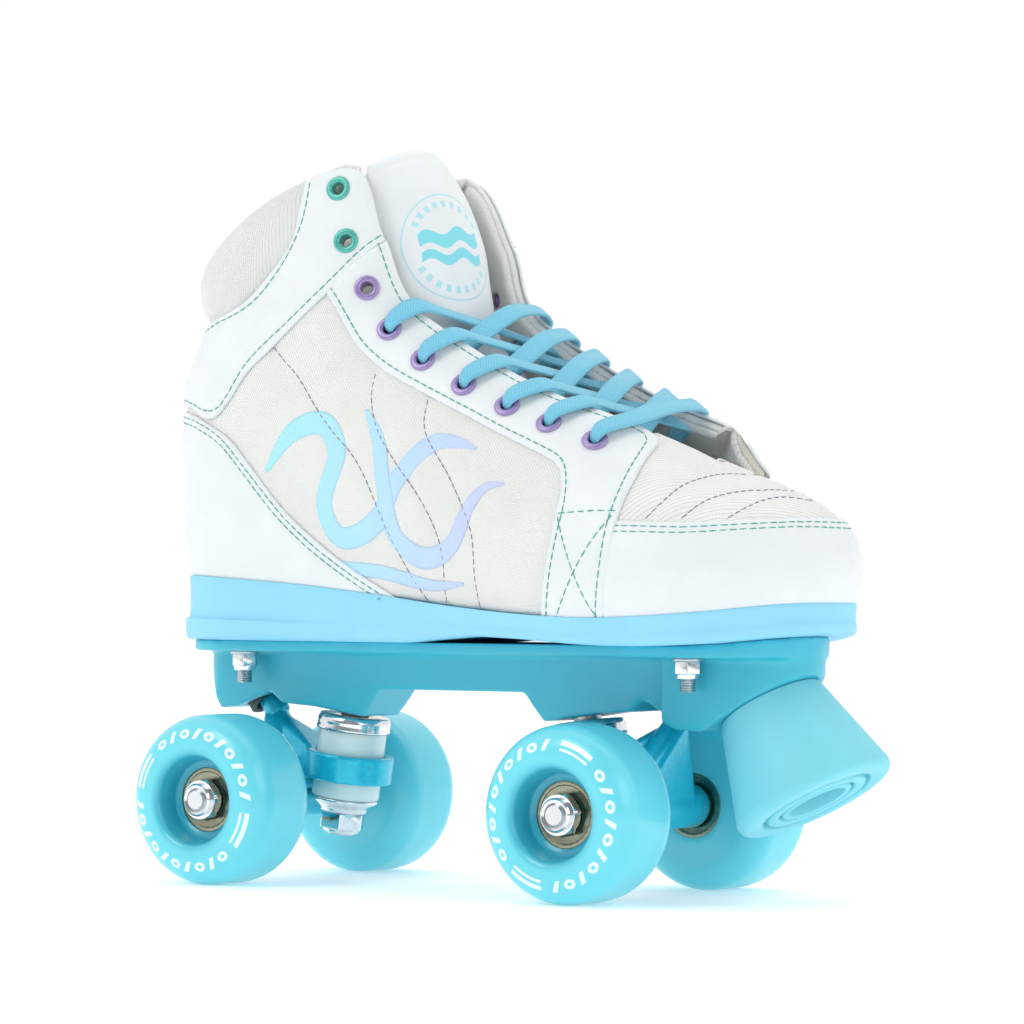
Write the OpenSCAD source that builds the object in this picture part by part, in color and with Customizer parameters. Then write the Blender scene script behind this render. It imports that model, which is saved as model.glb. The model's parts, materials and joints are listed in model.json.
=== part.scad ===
// Quad roller skate: high-top boot on a moulded plate, two sprung trucks, four wheels, toe stop.
// +X points to the toe, +Y to the wearer's left, +Z up; a right skate, so its outer side is -Y.
// The parts are drawn about the middle of the wheelbase at ground level, then moved by place()
// so that the origin is the centre of the skate's footprint on the ground. Millimetres.

/* [Wheels] */
// Wheel diameter
wheel_d = 58; // [54:1:60]
// Wheel width
wheel_w = 33; // [31:1:34]
// Radius of the rounded tread edges
wheel_lip_r = 9.2; // [6:0.1:10]
// Diameter of the mouth of the outer hub recess
hub_mouth_d = 29.5; // [27:0.5:32]
// Distance between the front and rear axles
wheelbase = 145.8; // [140:0.2:152]
// Distance between the middles of the left and right wheels
track = 87.2; // [86:0.2:92]

/* [Bearings and axles] */
// Outer diameter of a bearing
bearing_od = 22; // [22:1:22]
// Width of a bearing
bearing_w = 7; // [7:1:7]
// Axle diameter
axle_d = 8; // [8:1:8]
// Space between the two bearings of a wheel
bearing_gap = 10; // [9:0.5:10.5]
// Across flats of the axle nuts
axle_nut_af = 13; // [12.7:0.1:13]

/* [Trucks] */
// Lean of the kingpin away from the vertical, in degrees
kingpin_lean = 8; // [5:1:10]
// Kingpin diameter
kingpin_d = 9.5; // [9:0.1:10]
// Across flats of the kingpin nut
kingpin_nut_af = 14.3; // [14:0.1:15]
// Outer diameter of the cushions
cushion_d = 23.7; // [22:0.1:24]
// Outer diameter of the hanger's ring
ring_d = 30.8; // [29:0.2:32]
// Height of the hanger's ring
ring_h = 9.6; // [9:0.2:10.5]
// Radius of the pivot ball
pivot_r = 5.5; // [5:0.1:5.8]

/* [Plate] */
// Half width of the plate's flange
flange_half_w = 32; // [30:1:33]
// Underside height of the flange
flange_z = 79.4; // [79:0.1:80]
// Half width of the plate's beam where it meets the flange
beam_top_half_w = 14; // [13:0.5:14]
// Half width of the plate's beam at the kingpins
beam_low_half_w = 10.6; // [10:0.2:11.5]

/* [Toe stop] */
// Diameter at the plate
stop_top_d = 35.9; // [34:0.1:37]
// Diameter at the ground end
stop_end_d = 54.6; // [50:0.2:56]
// Length along its axis
stop_len = 36; // [34:0.5:37]
// Angle of its axis below the horizontal
stop_angle = 60.4; // [58:0.1:62]

/* [Boot] */
// How far the outsole stands out from the foot of the upper
sole_overhang = 2.2; // [1.5:0.1:3]
// Thickness of the lined canvas
wall = 3; // [2.5:0.1:3.5]
// Thickness of the synthetic leather panels
leather = 1; // [0.8:0.1:1.1]
// Thickness of the collar padding
pad_t = 8; // [6:0.5:9]
// Thickness of the insole
insole_t = 3; // [2:0.5:4]
// Bore diameter of an eyelet
eyelet_bore = 4.4; // [4.2:0.1:4.6]
// Diameter of an eyelet's flange
eyelet_d = 8.8; // [8.4:0.1:9.2]
// Width of the flat lace
lace_w = 7.5; // [7:0.1:7.6]
// Thickness of the flat lace
lace_t = 1.7; // [1.4:0.1:1.8]

/* [Hidden] */
$fn = 64;
e = 0.02;

// --- shared heights and places -------------------------------------------------
axle_x = wheelbase / 2;
axle_z = wheel_d / 2;
wheel_y = track / 2;
inner_face_y = wheel_y - wheel_w / 2;
heel_x = -114.72;
toe_x = 159.3;
mid_x = (heel_x + toe_x) / 2;
module place() {
    translate([-mid_x, 0, 0]) children();
}

// --- boot surface --------------------------------------------------------------
// Each row runs from the feather line up to the top edge as a cubic curve: foot, two
// shaping points, top. Rows go from the toe round the lateral side to the heel.
lateral_rows = [
    [[141.5, 5, 97], [149.5, 5, 110], [143, 5, 129], [127, 4, 132.5]],
    [[133.5, -20, 96.5], [140.5, -24, 109], [135, -20, 130], [115, 3, 137.5]],
    [[113, -38.5, 93.7], [117, -45.5, 110], [111, -38, 136], [101, 2, 142.5]],
    [[84, -46, 91.8], [86, -54, 112], [86, -42, 146], [88, 0, 148.5]],
    [[56, -45.5, 92.4], [57, -53, 116], [66, -40, 152], [76, -14, 155.5]],
    [[22, -40.5, 95], [21, -48.5, 122], [33, -42, 161], [47, -18, 165.5]],
    [[-12, -36, 98.7], [-13, -44, 128], [3, -43, 174], [16, -19, 181]],
    [[-42, -34, 101.6], [-43, -41, 134], [-26, -43, 187], [-10, -20, 199]],
    [[-66, -33.5, 103.4], [-68, -39, 140], [-43, -43, 205], [-20, -22, 222]],
    [[-84, -31, 104.4], [-87, -36, 148], [-58, -40, 215], [-31, -24, 246]],
    [[-96, -26, 105], [-100, -31, 150], [-85, -38, 205], [-62, -31, 236.5]],
    [[-104.5, -18, 105], [-110, -22, 148], [-103.5, -28, 192], [-89, -26, 220.5]],
    [[-110, 0, 105], [-117.5, 0, 145], [-112.5, 0, 188], [-108, 0, 214]]
];
// The medial side mirrors the lateral one, with a forward lean at the top edge and its
// own width at the foot and at the top.
medial_lean = [0, 1, 2, 3, 14, 14, 14, 14, 14, 10, 5, 0, 0];
medial_foot = [0, 5, 3, 0, -3, -6, -3, -1, 0, 0, 0, 0, 0];
medial_top = [0, 3, 2, 0, 8, 9, 10, 11, 12, 8, 2, 0, 0];
ridge_rows = 3;
rows = 24;
// The heel narrows above the counter.
ankle_pinch = 8.5;

function mirrored(p, dx, dy) = [p[0] + dx, -p[1] + dy, p[2]];
function top_shift(i) = i <= ridge_rows ? 2 * lateral_rows[i][3][1] : medial_top[i];
function medial_row(i) = let (r = lateral_rows[i]) [
    mirrored(r[0], 0, medial_foot[i]),
    mirrored(r[1], 0, medial_foot[i]),
    mirrored(r[2], 0.7 * medial_lean[i], 0.7 * medial_top[i]),
    mirrored(r[3], medial_lean[i], top_shift(i))
];
function row(i) = let (k = (i % rows + rows) % rows) k <= 12 ? lateral_rows[k] : medial_row(rows - k);
function catmull(p, q, r, s, t) =
    0.5 * (2 * q + (r - p) * t + (2 * p - 5 * q + 4 * r - s) * t * t
           + (3 * q - p - 3 * r + s) * t * t * t);
function wrap(a) = a < 0 ? a + rows : a >= rows ? a - rows : a;
function gauss(x, w) = exp(-(x / w) * (x / w));
function boot(a0, v) = let (
        a = wrap(a0),
        i = floor(a),
        t = a - i,
        p = [for (j = [0:3]) catmull(row(i - 1)[j], row(i)[j], row(i + 1)[j], row(i + 2)[j], t)],
        u = 1 - v
    )
    p[0] * u * u * u + p[1] * 3 * v * u * u + p[2] * 3 * v * v * u + p[3] * v * v * v
    + [ankle_pinch * gauss(v - 0.7, 0.12) * gauss(a - 12, 2.2), 0, 0];
function unit(v) = v / norm(v);
function side_normal(a, v) =
    let (
        h = 0.02,
        lo = max(v - h, 0),
        hi = min(v + h, 1),
        along = boot(a + h, v) - boot(a - h, v),
        up = boot(a, hi) - boot(a, lo)
    ) unit(cross(up, along));
// On the ridge of the vamp both sides share one normal.
function boot_normal(a, v) =
    v > 0.999 && (abs(a) <= ridge_rows || abs(a - rows) <= ridge_rows)
        ? unit(side_normal(a, v) + side_normal(wrap(-a), v))
        : side_normal(a, v);
function skin(a, v, offset) = boot(a, v) + boot_normal(a, v) * offset;
function foot(a, out) =
    let (f = boot(a, 0), d = boot(a + 0.05, 0) - boot(a - 0.05, 0), n = unit([d[1], -d[0]]))
    [f[0] - n[0] * out, f[1] - n[1] * out];

// Point at s (0 to 1) along a list of points, joined by straight lines.
function along_list(l, s) =
    let (n = len(l) - 1, k = min(floor(s * n), n - 1)) l[k] + (l[k + 1] - l[k]) * (s * n - k);
// A panel on the boot between two edge lines, given as [row, height] points, with its
// inner and outer faces at the given distances from the boot surface.
module panel(low, high, inner, outer, nu, nv) {
    pts = [
        for (side = [inner, outer], i = [0:nu], j = [0:nv])
            let (q = along_list(low, i / nu), r = along_list(high, i / nu), p = q + (r - q) * j / nv)
            skin(wrap(p[0]), p[1], side)
    ];
    sheet_solid(pts, nu, nv);
}
// Closed solid from two grids of (nu + 1) by (nv + 1) points: the inner one first.
module sheet_solid(pts, nu, nv) {
    m = (nu + 1) * (nv + 1);
    function at(i, j, s) = s * m + i * (nv + 1) + j;
    grid = [
        for (i = [0:nu - 1], j = [0:nv - 1], s = [0, 1], h = [0, 1])
            let (a = at(i, j, s), b = at(i + 1, j, s), c = at(i + 1, j + 1, s), d = at(i, j + 1, s))
            s == 1 ? (h == 0 ? [a, b, c] : [a, c, d]) : (h == 0 ? [a, c, b] : [a, d, c])
    ];
    ends = [
        for (j = [0:nv - 1], i = [0, nu], h = [0, 1])
            let (a = at(i, j, 0), b = at(i, j + 1, 0), c = at(i, j + 1, 1), d = at(i, j, 1))
            i == 0 ? (h == 0 ? [a, d, c] : [a, c, b]) : (h == 0 ? [a, c, d] : [a, b, c])
    ];
    edges = [
        for (i = [0:nu - 1], j = [0, nv], h = [0, 1])
            let (a = at(i, j, 0), b = at(i + 1, j, 0), c = at(i + 1, j, 1), d = at(i, j, 1))
            j == 0 ? (h == 0 ? [a, c, d] : [a, b, c]) : (h == 0 ? [a, d, c] : [a, c, b])
    ];
    polyhedron(pts, concat(grid, ends, edges));
}
function mirror_line(l) = [for (p = l) [rows - p[0], p[1]]];
function reversed(l) = [for (i = [len(l) - 1:-1:0]) l[i]];
function both_sides(l) = concat(l, tail(reversed(mirror_line(l))));
function tail(l) = [for (i = [1:len(l) - 1]) l[i]];
function across_toe(l) = concat([for (p = l) [-p[0], p[1]]], tail(reversed(l)));

// --- seams, as [row, height] points on the boot surface ---------------------------
vamp_end = 3.7;
quarter_low = [[3.75, 0.008], [6, 0.008], [8, 0.008], [9.5, 0.008], [9.8, 0.008], [10.6, 0.008], [11.98, 0.008]];
quarter_high = [[3.75, 1], [6.2, 1], [8.6, 1], [9.42, 0.99], [9.5, 0.66], [10.4, 0.67], [11.98, 0.73]];
cap_low = [[3, 0.01], [2.3, 0.01], [1.5, 0.01], [0.7, 0.01], [0, 0.01]];
cap_high = [[2.95, 0.45], [2.3, 0.5], [1.5, 0.57], [0.7, 0.64], [0, 0.66]];
counter_low = [[5.9, 0.01], [6.6, 0.01], [7.4, 0.01], [8.3, 0.01], [9.4, 0.01], [10.7, 0.01], [12, 0.01]];
counter_high = [[6, 0.03], [6.4, 0.1], [7.2, 0.2], [8, 0.29], [9.4, 0.35], [10.7, 0.44], [12, 0.5]];
strap_low = [[8, 0.99], [8, 0.82], [8.1, 0.71], [8.9, 0.48], [9.6, 0.38], [10.7, 0.46], [12, 0.52]];
strap_high = [[9.4, 0.99], [9.3, 0.88], [9.15, 0.78], [9.2, 0.73], [9.5, 0.645], [10.4, 0.655], [12, 0.715]];
stay_low = [[3.9, 0.01], [3.85, 0.25], [3.95, 0.5], [4.15, 0.62], [4.7, 0.68], [5.8, 0.7], [6.9, 0.74], [7.9, 0.74]];
stay_high = [[2.98, 0.01], [3.12, 0.3], [3.3, 0.6], [3.5, 0.985], [4.4, 0.985], [5.6, 0.985], [6.7, 0.985], [7.9, 0.985]];
pad_low = [[9.5, 0.68], [10.4, 0.69], [12, 0.75]];
pad_high = [[9.5, 1], [10.4, 1], [12, 1]];

// --- boot parts ------------------------------------------------------------------
sole_top = [
    [-120, 105], [-96, 105], [-84, 104.4], [-66, 103.4], [-42, 101.6], [-12, 98.7], [22, 95],
    [56, 92.4], [84, 91.8], [113, 93.7], [133.5, 96.5], [141.5, 97], [152, 98]
];
sole_base = [
    [-120, 83.2], [0, 83.2], [10, 84.2], [30, 85.8], [52, 85], [72, 83.7], [84, 83.2],
    [96, 83.2], [117, 84.3], [138, 87], [152, 89.6]
];
// A slab between two side-view lines, cut to the boot's footprint grown by out.
module footprint_slab(top, base, top_shift, base_shift, out) {
    outline = [for (i = [0:2:95]) foot(i / 4, out)];
    profile = concat(
        [for (p = top) [p[0], p[1] + top_shift]],
        reversed([for (p = base) [p[0], p[1] + base_shift]])
    );
    intersection() {
        translate([0, 70, 0]) rotate([90, 0, 0]) linear_extrude(140) polygon(profile);
        translate([0, 0, 70]) linear_extrude(60) polygon(outline);
    }
}
bolt_spots = [[-81.5, -20], [-81.5, 20], [102, -24], [102, 24]];
bolt_head_z = [101.2, 101.2, 90.2, 90.2];
bolt_d = 5;
module at_bolts() {
    for (i = [0:3]) translate([bolt_spots[i][0], bolt_spots[i][1], 0]) children();
}
module outsole() {
    color("#a2e0f6") place() difference() {
        footprint_slab(sole_top, sole_base, -0.35, 0, sole_overhang);
        at_bolts() translate([0, 0, 80]) cylinder(d = bolt_d + 0.2, h = 30);
        for (i = [0:3]) translate([bolt_spots[i][0], bolt_spots[i][1], bolt_head_z[i] - 0.2])
            cylinder(d = 11.4, h = 20);
    }
}
module insole() {
    color("#e9ecec") place() footprint_slab(sole_top, sole_top, insole_t, 0, -wall - 1.4);
}
module vamp() {
    nu = 20;
    nv = 9;
    // Columns meet on the ridge up to ridge_rows; past it the top edge is open.
    cols = [for (i = [-nu:nu]) i / nu * vamp_end];
    closed = floor(nu * ridge_rows / vamp_end);
    n = len(cols);
    m = n * (nv + 1);
    pts = [
        for (s = [0, 1], i = [0:n - 1], j = [0:nv])
            let (a = abs(i - nu) <= closed && j == nv ? abs(cols[i]) : cols[i])
            skin(wrap(a), j == 0 ? 0.008 : j / nv, s == 0 ? -wall : 0)
    ];
    function at(i, j, s) = s * m + (j == nv && abs(i - nu) <= closed ? nu + abs(i - nu) : i) * (nv + 1) + j;
    grid = [
        for (i = [0:n - 2], j = [0:nv - 1], s = [0, 1], h = [0, 1])
            let (a = at(i, j, s), b = at(i + 1, j, s), c = at(i + 1, j + 1, s), d = at(i, j + 1, s))
            s == 1 ? (h == 0 ? [a, b, c] : [a, c, d]) : (h == 0 ? [a, c, b] : [a, d, c])
    ];
    ends = [
        for (j = [0:nv - 1], i = [0, n - 1], h = [0, 1])
            let (a = at(i, j, 0), b = at(i, j + 1, 0), c = at(i, j + 1, 1), d = at(i, j, 1))
            i == 0 ? (h == 0 ? [a, d, c] : [a, c, b]) : (h == 0 ? [a, c, d] : [a, b, c])
    ];
    foot_edge = [
        for (i = [0:n - 2], h = [0, 1])
            let (a = at(i, 0, 0), b = at(i + 1, 0, 0), c = at(i + 1, 0, 1), d = at(i, 0, 1))
            h == 0 ? [a, c, d] : [a, b, c]
    ];
    throat_edge = [
        for (i = [0:n - 2], h = [0, 1]) if (max(abs(i - nu), abs(i + 1 - nu)) > closed)
            let (a = at(i, nv, 0), b = at(i + 1, nv, 0), c = at(i + 1, nv, 1), d = at(i, nv, 1))
            h == 0 ? [a, d, c] : [a, c, b]
    ];
    color("#e8e9e6") place() polyhedron(pts, concat(grid, ends, foot_edge, throat_edge));
}
module quarter_lateral() {
    color("#e8e9e6") place() difference() {
        panel(quarter_low, quarter_high, -wall, 0, 34, 12);
        eyelet_holes(lateral_eyelets);
    }
}
module quarter_medial() {
    color("#e8e9e6") place() difference() {
        panel(reversed(mirror_line(quarter_low)), reversed(mirror_line(quarter_high)), -wall, 0, 34, 12);
        eyelet_holes(medial_eyelets);
    }
}
panel_in = 0.5;
panel_out = panel_in + leather;
module toe_cap() {
    color("#f4f7f9") place() panel(
        across_toe(cap_low), across_toe(cap_high),
        panel_in, panel_out, 24, 6
    );
}
module heel_counter() {
    color("#f4f7f9") place() panel(
        both_sides(counter_low), both_sides(counter_high),
        panel_in, panel_out, 39, 6
    );
}
module ankle_strap() {
    color("#f4f7f9") place() difference() {
        panel(both_sides(strap_low), both_sides(strap_high), panel_in, panel_out, 42, 8);
        eyelet_holes(concat([for (i = [7, 8]) lateral_eyelets[i]], [for (i = [7, 8]) medial_eyelets[i]]));
    }
}
module eyestay_lateral() {
    color("#f4f7f9") place() difference() {
        panel(stay_low, stay_high, panel_in, panel_out, 28, 4);
        eyelet_holes([for (i = [0:6]) lateral_eyelets[i]]);
    }
}
module eyestay_medial() {
    color("#f4f7f9") place() difference() {
        panel(reversed(mirror_line(stay_low)), reversed(mirror_line(stay_high)), panel_in, panel_out, 28, 4);
        eyelet_holes([for (i = [0:6]) medial_eyelets[i]]);
    }
}
module collar_pad() {
    color("#dfe2e0") place() panel(
        both_sides(pad_low), both_sides(pad_high), -pad_t, 0.4, 20, 5
    );
}
// Middle line of the tongue's front face in side view, from the vamp up to its top.
tongue_line = [
    [96, 134.5], [85, 140], [73, 145], [52.5, 152.5], [32.5, 162], [15, 174], [2.5, 188],
    [-2.5, 204.5], [-5.5, 221], [-12, 237], [-19, 247.5], [-25, 254]
];
tongue_half_w = [14, 15, 16, 18, 20, 22, 23, 24, 25, 26, 26, 24];
tongue_y = 6;
tongue_bend_r = 27;
tongue_t = 4.5;
module tongue() {
    nu = len(tongue_line) - 1;
    nv = 8;
    pts = [
        for (s = [1, 0], i = [0:nu], j = [0:nv])
            let (
                t = unit(tongue_line[min(i + 1, nu)] - tongue_line[max(i - 1, 0)]),
                ang = (j / nv * 2 - 1) * asin(tongue_half_w[i] / tongue_bend_r),
                r = tongue_bend_r - s * tongue_t,
                drop = tongue_bend_r - r * cos(ang)
            )
            [tongue_line[i][0] - t[1] * drop, tongue_y + r * sin(ang), tongue_line[i][1] + t[0] * drop]
    ];
    color("#f4f7f9") place() sheet_solid(pts, nu, nv);
}
// Eyelets as [row, height]; the medial ones stand closer together over the instep.
lateral_eyelets = [
    [4, 0.78], [4.6, 0.8], [5.13, 0.81], [5.68, 0.81], [6.26, 0.82], [6.85, 0.85],
    [7.52, 0.87], [8.28, 0.87], [8.95, 0.92]
];
medial_eyelets = [
    [19.4, 0.8], [19.03, 0.81], [18.53, 0.81], [18.08, 0.82], [17.64, 0.83], [17.17, 0.85],
    [16.48, 0.87], [15.72, 0.87], [15.05, 0.92]
];
module on_boot(spot) {
    n = boot_normal(spot[0], spot[1]);
    translate(boot(spot[0], spot[1]))
        rotate([0, acos(n[2]), atan2(n[1], n[0])]) children();
}
module eyelet_holes(spots) {
    for (s = spots) on_boot(s) translate([0, 0, -8]) cylinder(d = eyelet_bore + 1.6, h = 20, $fn = 32);
}
// A tube through the layers with a bevelled flange that stands on the leather.
module eyelet() {
    bore = eyelet_bore / 2;
    flange = panel_out + 0.2;
    rotate_extrude($fn = 32) polygon([
        [bore, -wall - 0.7], [bore, flange], [bore + 0.7, flange + 0.8], [eyelet_d / 2 - 0.7, flange + 0.8],
        [eyelet_d / 2, flange + 0.3], [eyelet_d / 2, flange], [bore + 0.6, flange], [bore + 0.6, -wall - 0.7]
    ]);
}
module eyelets_teal() {
    color("#4db8a4") place() for (l = [lateral_eyelets, medial_eyelets], i = [7, 8]) on_boot(l[i]) eyelet();
}
module eyelets_purple() {
    color("#a98fd0") place() for (l = [lateral_eyelets, medial_eyelets], i = [0:6]) on_boot(l[i]) eyelet();
}

// --- lace: one flat lace, threaded through the lower six pairs ------------------------
// Each stop of its route is [point, direction of the width, half width, half thickness].
laced = 6;
flat_w = lace_w / 2;
flat_t = lace_t / 2;
// Inside the eyelets it is gathered up.
gathered_w = 1.7;
gathered_t = 1;
throat_up = unit([0.5, 0, 0.86]);
function spot(side, k) = side < 0 ? lateral_eyelets[k] : medial_eyelets[k];
function eyelet_axes(side, k) =
    let (
        s = spot(side, k),
        out = boot_normal(s[0], s[1]),
        rise = boot(s[0], s[1] + 0.02) - boot(s[0], s[1] - 0.02),
        up = unit(rise - out * (rise * out))
    ) [boot(s[0], s[1]), out, up, cross(out, up)];
// From inside an eyelet, out, and over the edge of the facing.
function outside_leg(side, k) =
    let (
        f = eyelet_axes(side, k),
        a = spot(side, k)[0],
        rim = boot(a, 0.985) + boot_normal(a, 0.97) * 2.9
    ) [
        [f[0] - f[1] * 3.6, f[3], gathered_w, gathered_t],
        [f[0] + f[1] * 1.9, f[3], gathered_w, gathered_t],
        [f[0] + f[1] * 4.1 + f[2] * 1.9, f[3], 2.3, 0.9],
        [f[0] + f[1] * 3.6 + f[2] * 6.2, f[3], 3.2, flat_t],
        [rim + f[2] * 0.4, f[3], flat_w - 0.15, flat_t]
    ];
// From under the edge of the facing to the inner mouth of an eyelet.
function inside_leg(side, k) =
    let (f = eyelet_axes(side, k), rim = boot(spot(side, k)[0], 0.965)) [
        [rim - f[1] * 6.5, f[3], flat_w - 0.25, flat_t],
        [f[0] - f[1] * 7 + f[2] * 1.5, f[3], 2.6, 0.95]
    ];
// Across the tongue, arched upward.
function crossing(p, q, lift) = [
    for (f = [0.2, 0.5, 0.8])
        [p + (q - p) * f + throat_up * sin(180 * f) * lift, unit(cross(throat_up, unit(q - p))), flat_w, flat_t]
];
function lift(side, k) = side > 0 ? 3.8 + k : 0.15 * k;
// From an outer leg at eyelet k, across and under the other side's edge to eyelet k - 1.
function pass(side, k) =
    let (leg = outside_leg(side, k), under = inside_leg(-side, k - 1))
    concat(leg, crossing(leg[4][0], under[0][0], lift(side, k)), under);
function tuck(side) =
    let (f = eyelet_axes(side, laced - 1)) [
        [f[0] - f[1] * 9.5 - f[2] * 16, f[3], 2.5, 0.95],
        [f[0] - f[1] * 8.6 - f[2] * 6, f[3], 2.5, 0.95]
    ];
function bar() =
    let (leg = outside_leg(1, 0), other = reversed(outside_leg(-1, 0)))
    concat(leg, crossing(leg[4][0], other[0][0], 2.2), other);
function alternate(k) = k % 2 == 0 ? 1 : -1;
function lace_route() = concat(
    tuck(-1),
    [for (k = [laced - 1:-1:1], p = pass(alternate(k), k)) p],
    bar(),
    [for (k = [1:laced - 1], p = reversed(pass(-alternate(k), k))) p],
    reversed(tuck(1))
);
module laces() {
    color("#6cc4e4") place() strand(lace_route());
}
// Width directions, each turned to agree with the one before.
function agreed(r, i = 0, last = undef) =
    i == len(r) ? [] : let (w = last == undef || r[i][1] * last >= 0 ? r[i][1] : -r[i][1])
    concat([w], agreed(r, i + 1, w));
// Sweeps the lace's flat oval section along a route.
module strand(r) {
    n = len(r);
    sides = 8;
    wide = agreed(r);
    pts = [
        for (i = [0:n - 1])
            let (
                t = unit(r[min(i + 1, n - 1)][0] - r[max(i - 1, 0)][0]),
                w = unit(wide[i] - t * (wide[i] * t)),
                h = cross(t, w)
            )
            for (k = [0:sides - 1])
                r[i][0] + w * r[i][2] * cos(360 * k / sides) + h * r[i][3] * sin(360 * k / sides)
    ];
    tube = [
        for (i = [0:n - 2], k = [0:sides - 1], h = [0, 1])
            let (a = i * sides + k, b = i * sides + (k + 1) % sides, c = b + sides, d = a + sides)
            h == 0 ? [a, c, b] : [a, d, c]
    ];
    caps = [
        [for (k = [0:sides - 1]) k],
        [for (k = [sides - 1:-1:0]) (n - 1) * sides + k]
    ];
    polyhedron(pts, concat(tube, caps));
}

// --- plate -----------------------------------------------------------------------
plate_back_x = -107;
plate_nose_x = 136;
nose_r = flange_half_w;
heel_r = 25;
// Side view of the flange, its top following the sole.
flange_side = [
    [plate_back_x - 5, flange_z], [plate_back_x - 5, 83.2], [96, 83.2], [117, 84.3], [138, 87],
    [138, flange_z]
];
// Side view of the beam with the two kingpin blocks and pivot housings.
rear_side = [
    [0, 66.8], [-30, 66.8], [-37.2, 57.1], [-59, 60.3], [-72, 61.2], [-77, 65.2], [-92.6, 59.6],
    [-99.6, 59], [-107, 78]
];
front_side = [
    [107, 78], [103.2, 55.6], [92.6, 56.4], [77, 65.2], [72, 61.2], [59, 60.3], [37.2, 57.1],
    [30, 66.8]
];
beam_side = concat([[130, 80]], [[107, 80]], front_side, rear_side, [[-107, 80]]);
stop_mid = [118.8, 64.45];
column_half_w = 18.4;
module side_extrude(points, half_w) {
    translate([0, half_w, 0]) rotate([90, 0, 0]) linear_extrude(2 * half_w) polygon(points);
}
module flange_plan() {
    union() {
        translate([plate_back_x + heel_r, -flange_half_w])
            square([plate_nose_x - nose_r - plate_back_x - heel_r, 2 * flange_half_w]);
        translate([plate_nose_x - nose_r, 0]) circle(r = nose_r);
        for (s = [-1, 1]) translate([plate_back_x + heel_r, s * (flange_half_w - heel_r)]) circle(r = heel_r);
        translate([plate_back_x, -flange_half_w + heel_r])
            square([heel_r, 2 * (flange_half_w - heel_r)]);
    }
}
module kingpin_frame(s) {
    // s = -1 for the rear truck, 1 for the front one; local -Z runs down the kingpin.
    translate([s * 48.2, 0, 58.5]) rotate([0, -s * kingpin_lean, 0]) mirror([s > 0 ? 1 : 0, 0, 0]) children();
}
module pivot_frame(s) {
    // Local +Z runs from the cup's mouth up into the plate.
    translate([s * 85.2, 0, 62.5]) rotate([0, s * 35, 0]) children();
}
module stop_frame() {
    // Local +Z runs from the plate down towards the ground.
    translate([stop_mid[0], 0, stop_mid[1]]) rotate([0, 90 + stop_angle, 0]) children();
}
module beam() {
    intersection() {
        side_extrude(concat([[-107, 83]], [[107, 83]], front_side, rear_side), 40);
        rotate([90, 0, 90]) translate([0, 0, -130]) linear_extrude(260) polygon([
            [-beam_low_half_w, 56], [beam_low_half_w, 56], [beam_top_half_w, 83], [-beam_top_half_w, 83]
        ]);
        translate([0, 0, 50]) linear_extrude(40) union() {
            translate([-95, -20]) square([203, 40]);
            translate([-94, 0]) circle(r = 13.5);
        }
    }
}
module toe_column() {
    intersection() {
        translate([0, 0, 50]) linear_extrude(40) union() {
            translate([stop_mid[0] - 0.6, 0]) circle(r = column_half_w);
            translate([88, -column_half_w]) square([stop_mid[0] - 88, 2 * column_half_w]);
        }
        difference() {
            side_extrude([[88, 58.6], [93, 56], [103.3, 55.4], [140, 76], [140, 83], [88, 83]], 40);
            stop_frame() cylinder(d = 80, h = 60);
        }
    }
}
module plate() {
    color("#54b4c8") place() difference() {
        union() {
            intersection() {
                side_extrude(flange_side, 40);
                translate([0, 0, 70]) linear_extrude(30) flange_plan();
            }
            beam();
            toe_column();
        }
        for (s = [-1, 1]) {
            kingpin_frame(s) translate([0, 0, -10]) cylinder(d = kingpin_d + 2 * e, h = 60);
            kingpin_frame(s) translate([0, 0, 18.8]) cylinder(d = 18, h = 20);
            pivot_frame(s) translate([0, 0, -10]) cylinder(r = cup_r + e, h = 10 + cup_depth + e);
        }
        at_bolts() translate([0, 0, 70]) cylinder(d = bolt_d + 0.2, h = 30);
        stop_frame() translate([0, 0, -insert_len - 1]) cylinder(d = insert_d + 2 * e, h = insert_len + 2);
    }
}
module mounting_bolts() {
    color("#c9ced2") place() for (i = [0:3]) translate([bolt_spots[i][0], bolt_spots[i][1], 0]) {
        translate([0, 0, 68.4]) cylinder(d = bolt_d, h = bolt_head_z[i] - 68.4);
        translate([0, 0, bolt_head_z[i]]) cylinder(d = 11, h = 1.4);
    }
}
module mounting_washers() {
    color("#d5d9dc") place() at_bolts() translate([0, 0, flange_z - 1.05]) difference() {
        cylinder(d = 10, h = 1);
        translate([0, 0, -1]) cylinder(d = bolt_d + 0.2, h = 3);
    }
}
module mounting_nuts() {
    color("#cfd3d6") place() at_bolts() difference() {
        union() {
            translate([0, 0, flange_z - 5.2]) cylinder(d = 8 / cos(30), h = 4.1, $fn = 6);
            translate([0, 0, flange_z - 6.8]) cylinder(d = 7.6, h = 1.6 + e);
        }
        translate([0, 0, 60]) cylinder(d = bolt_d + 2 * e, h = 30);
    }
}

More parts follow.
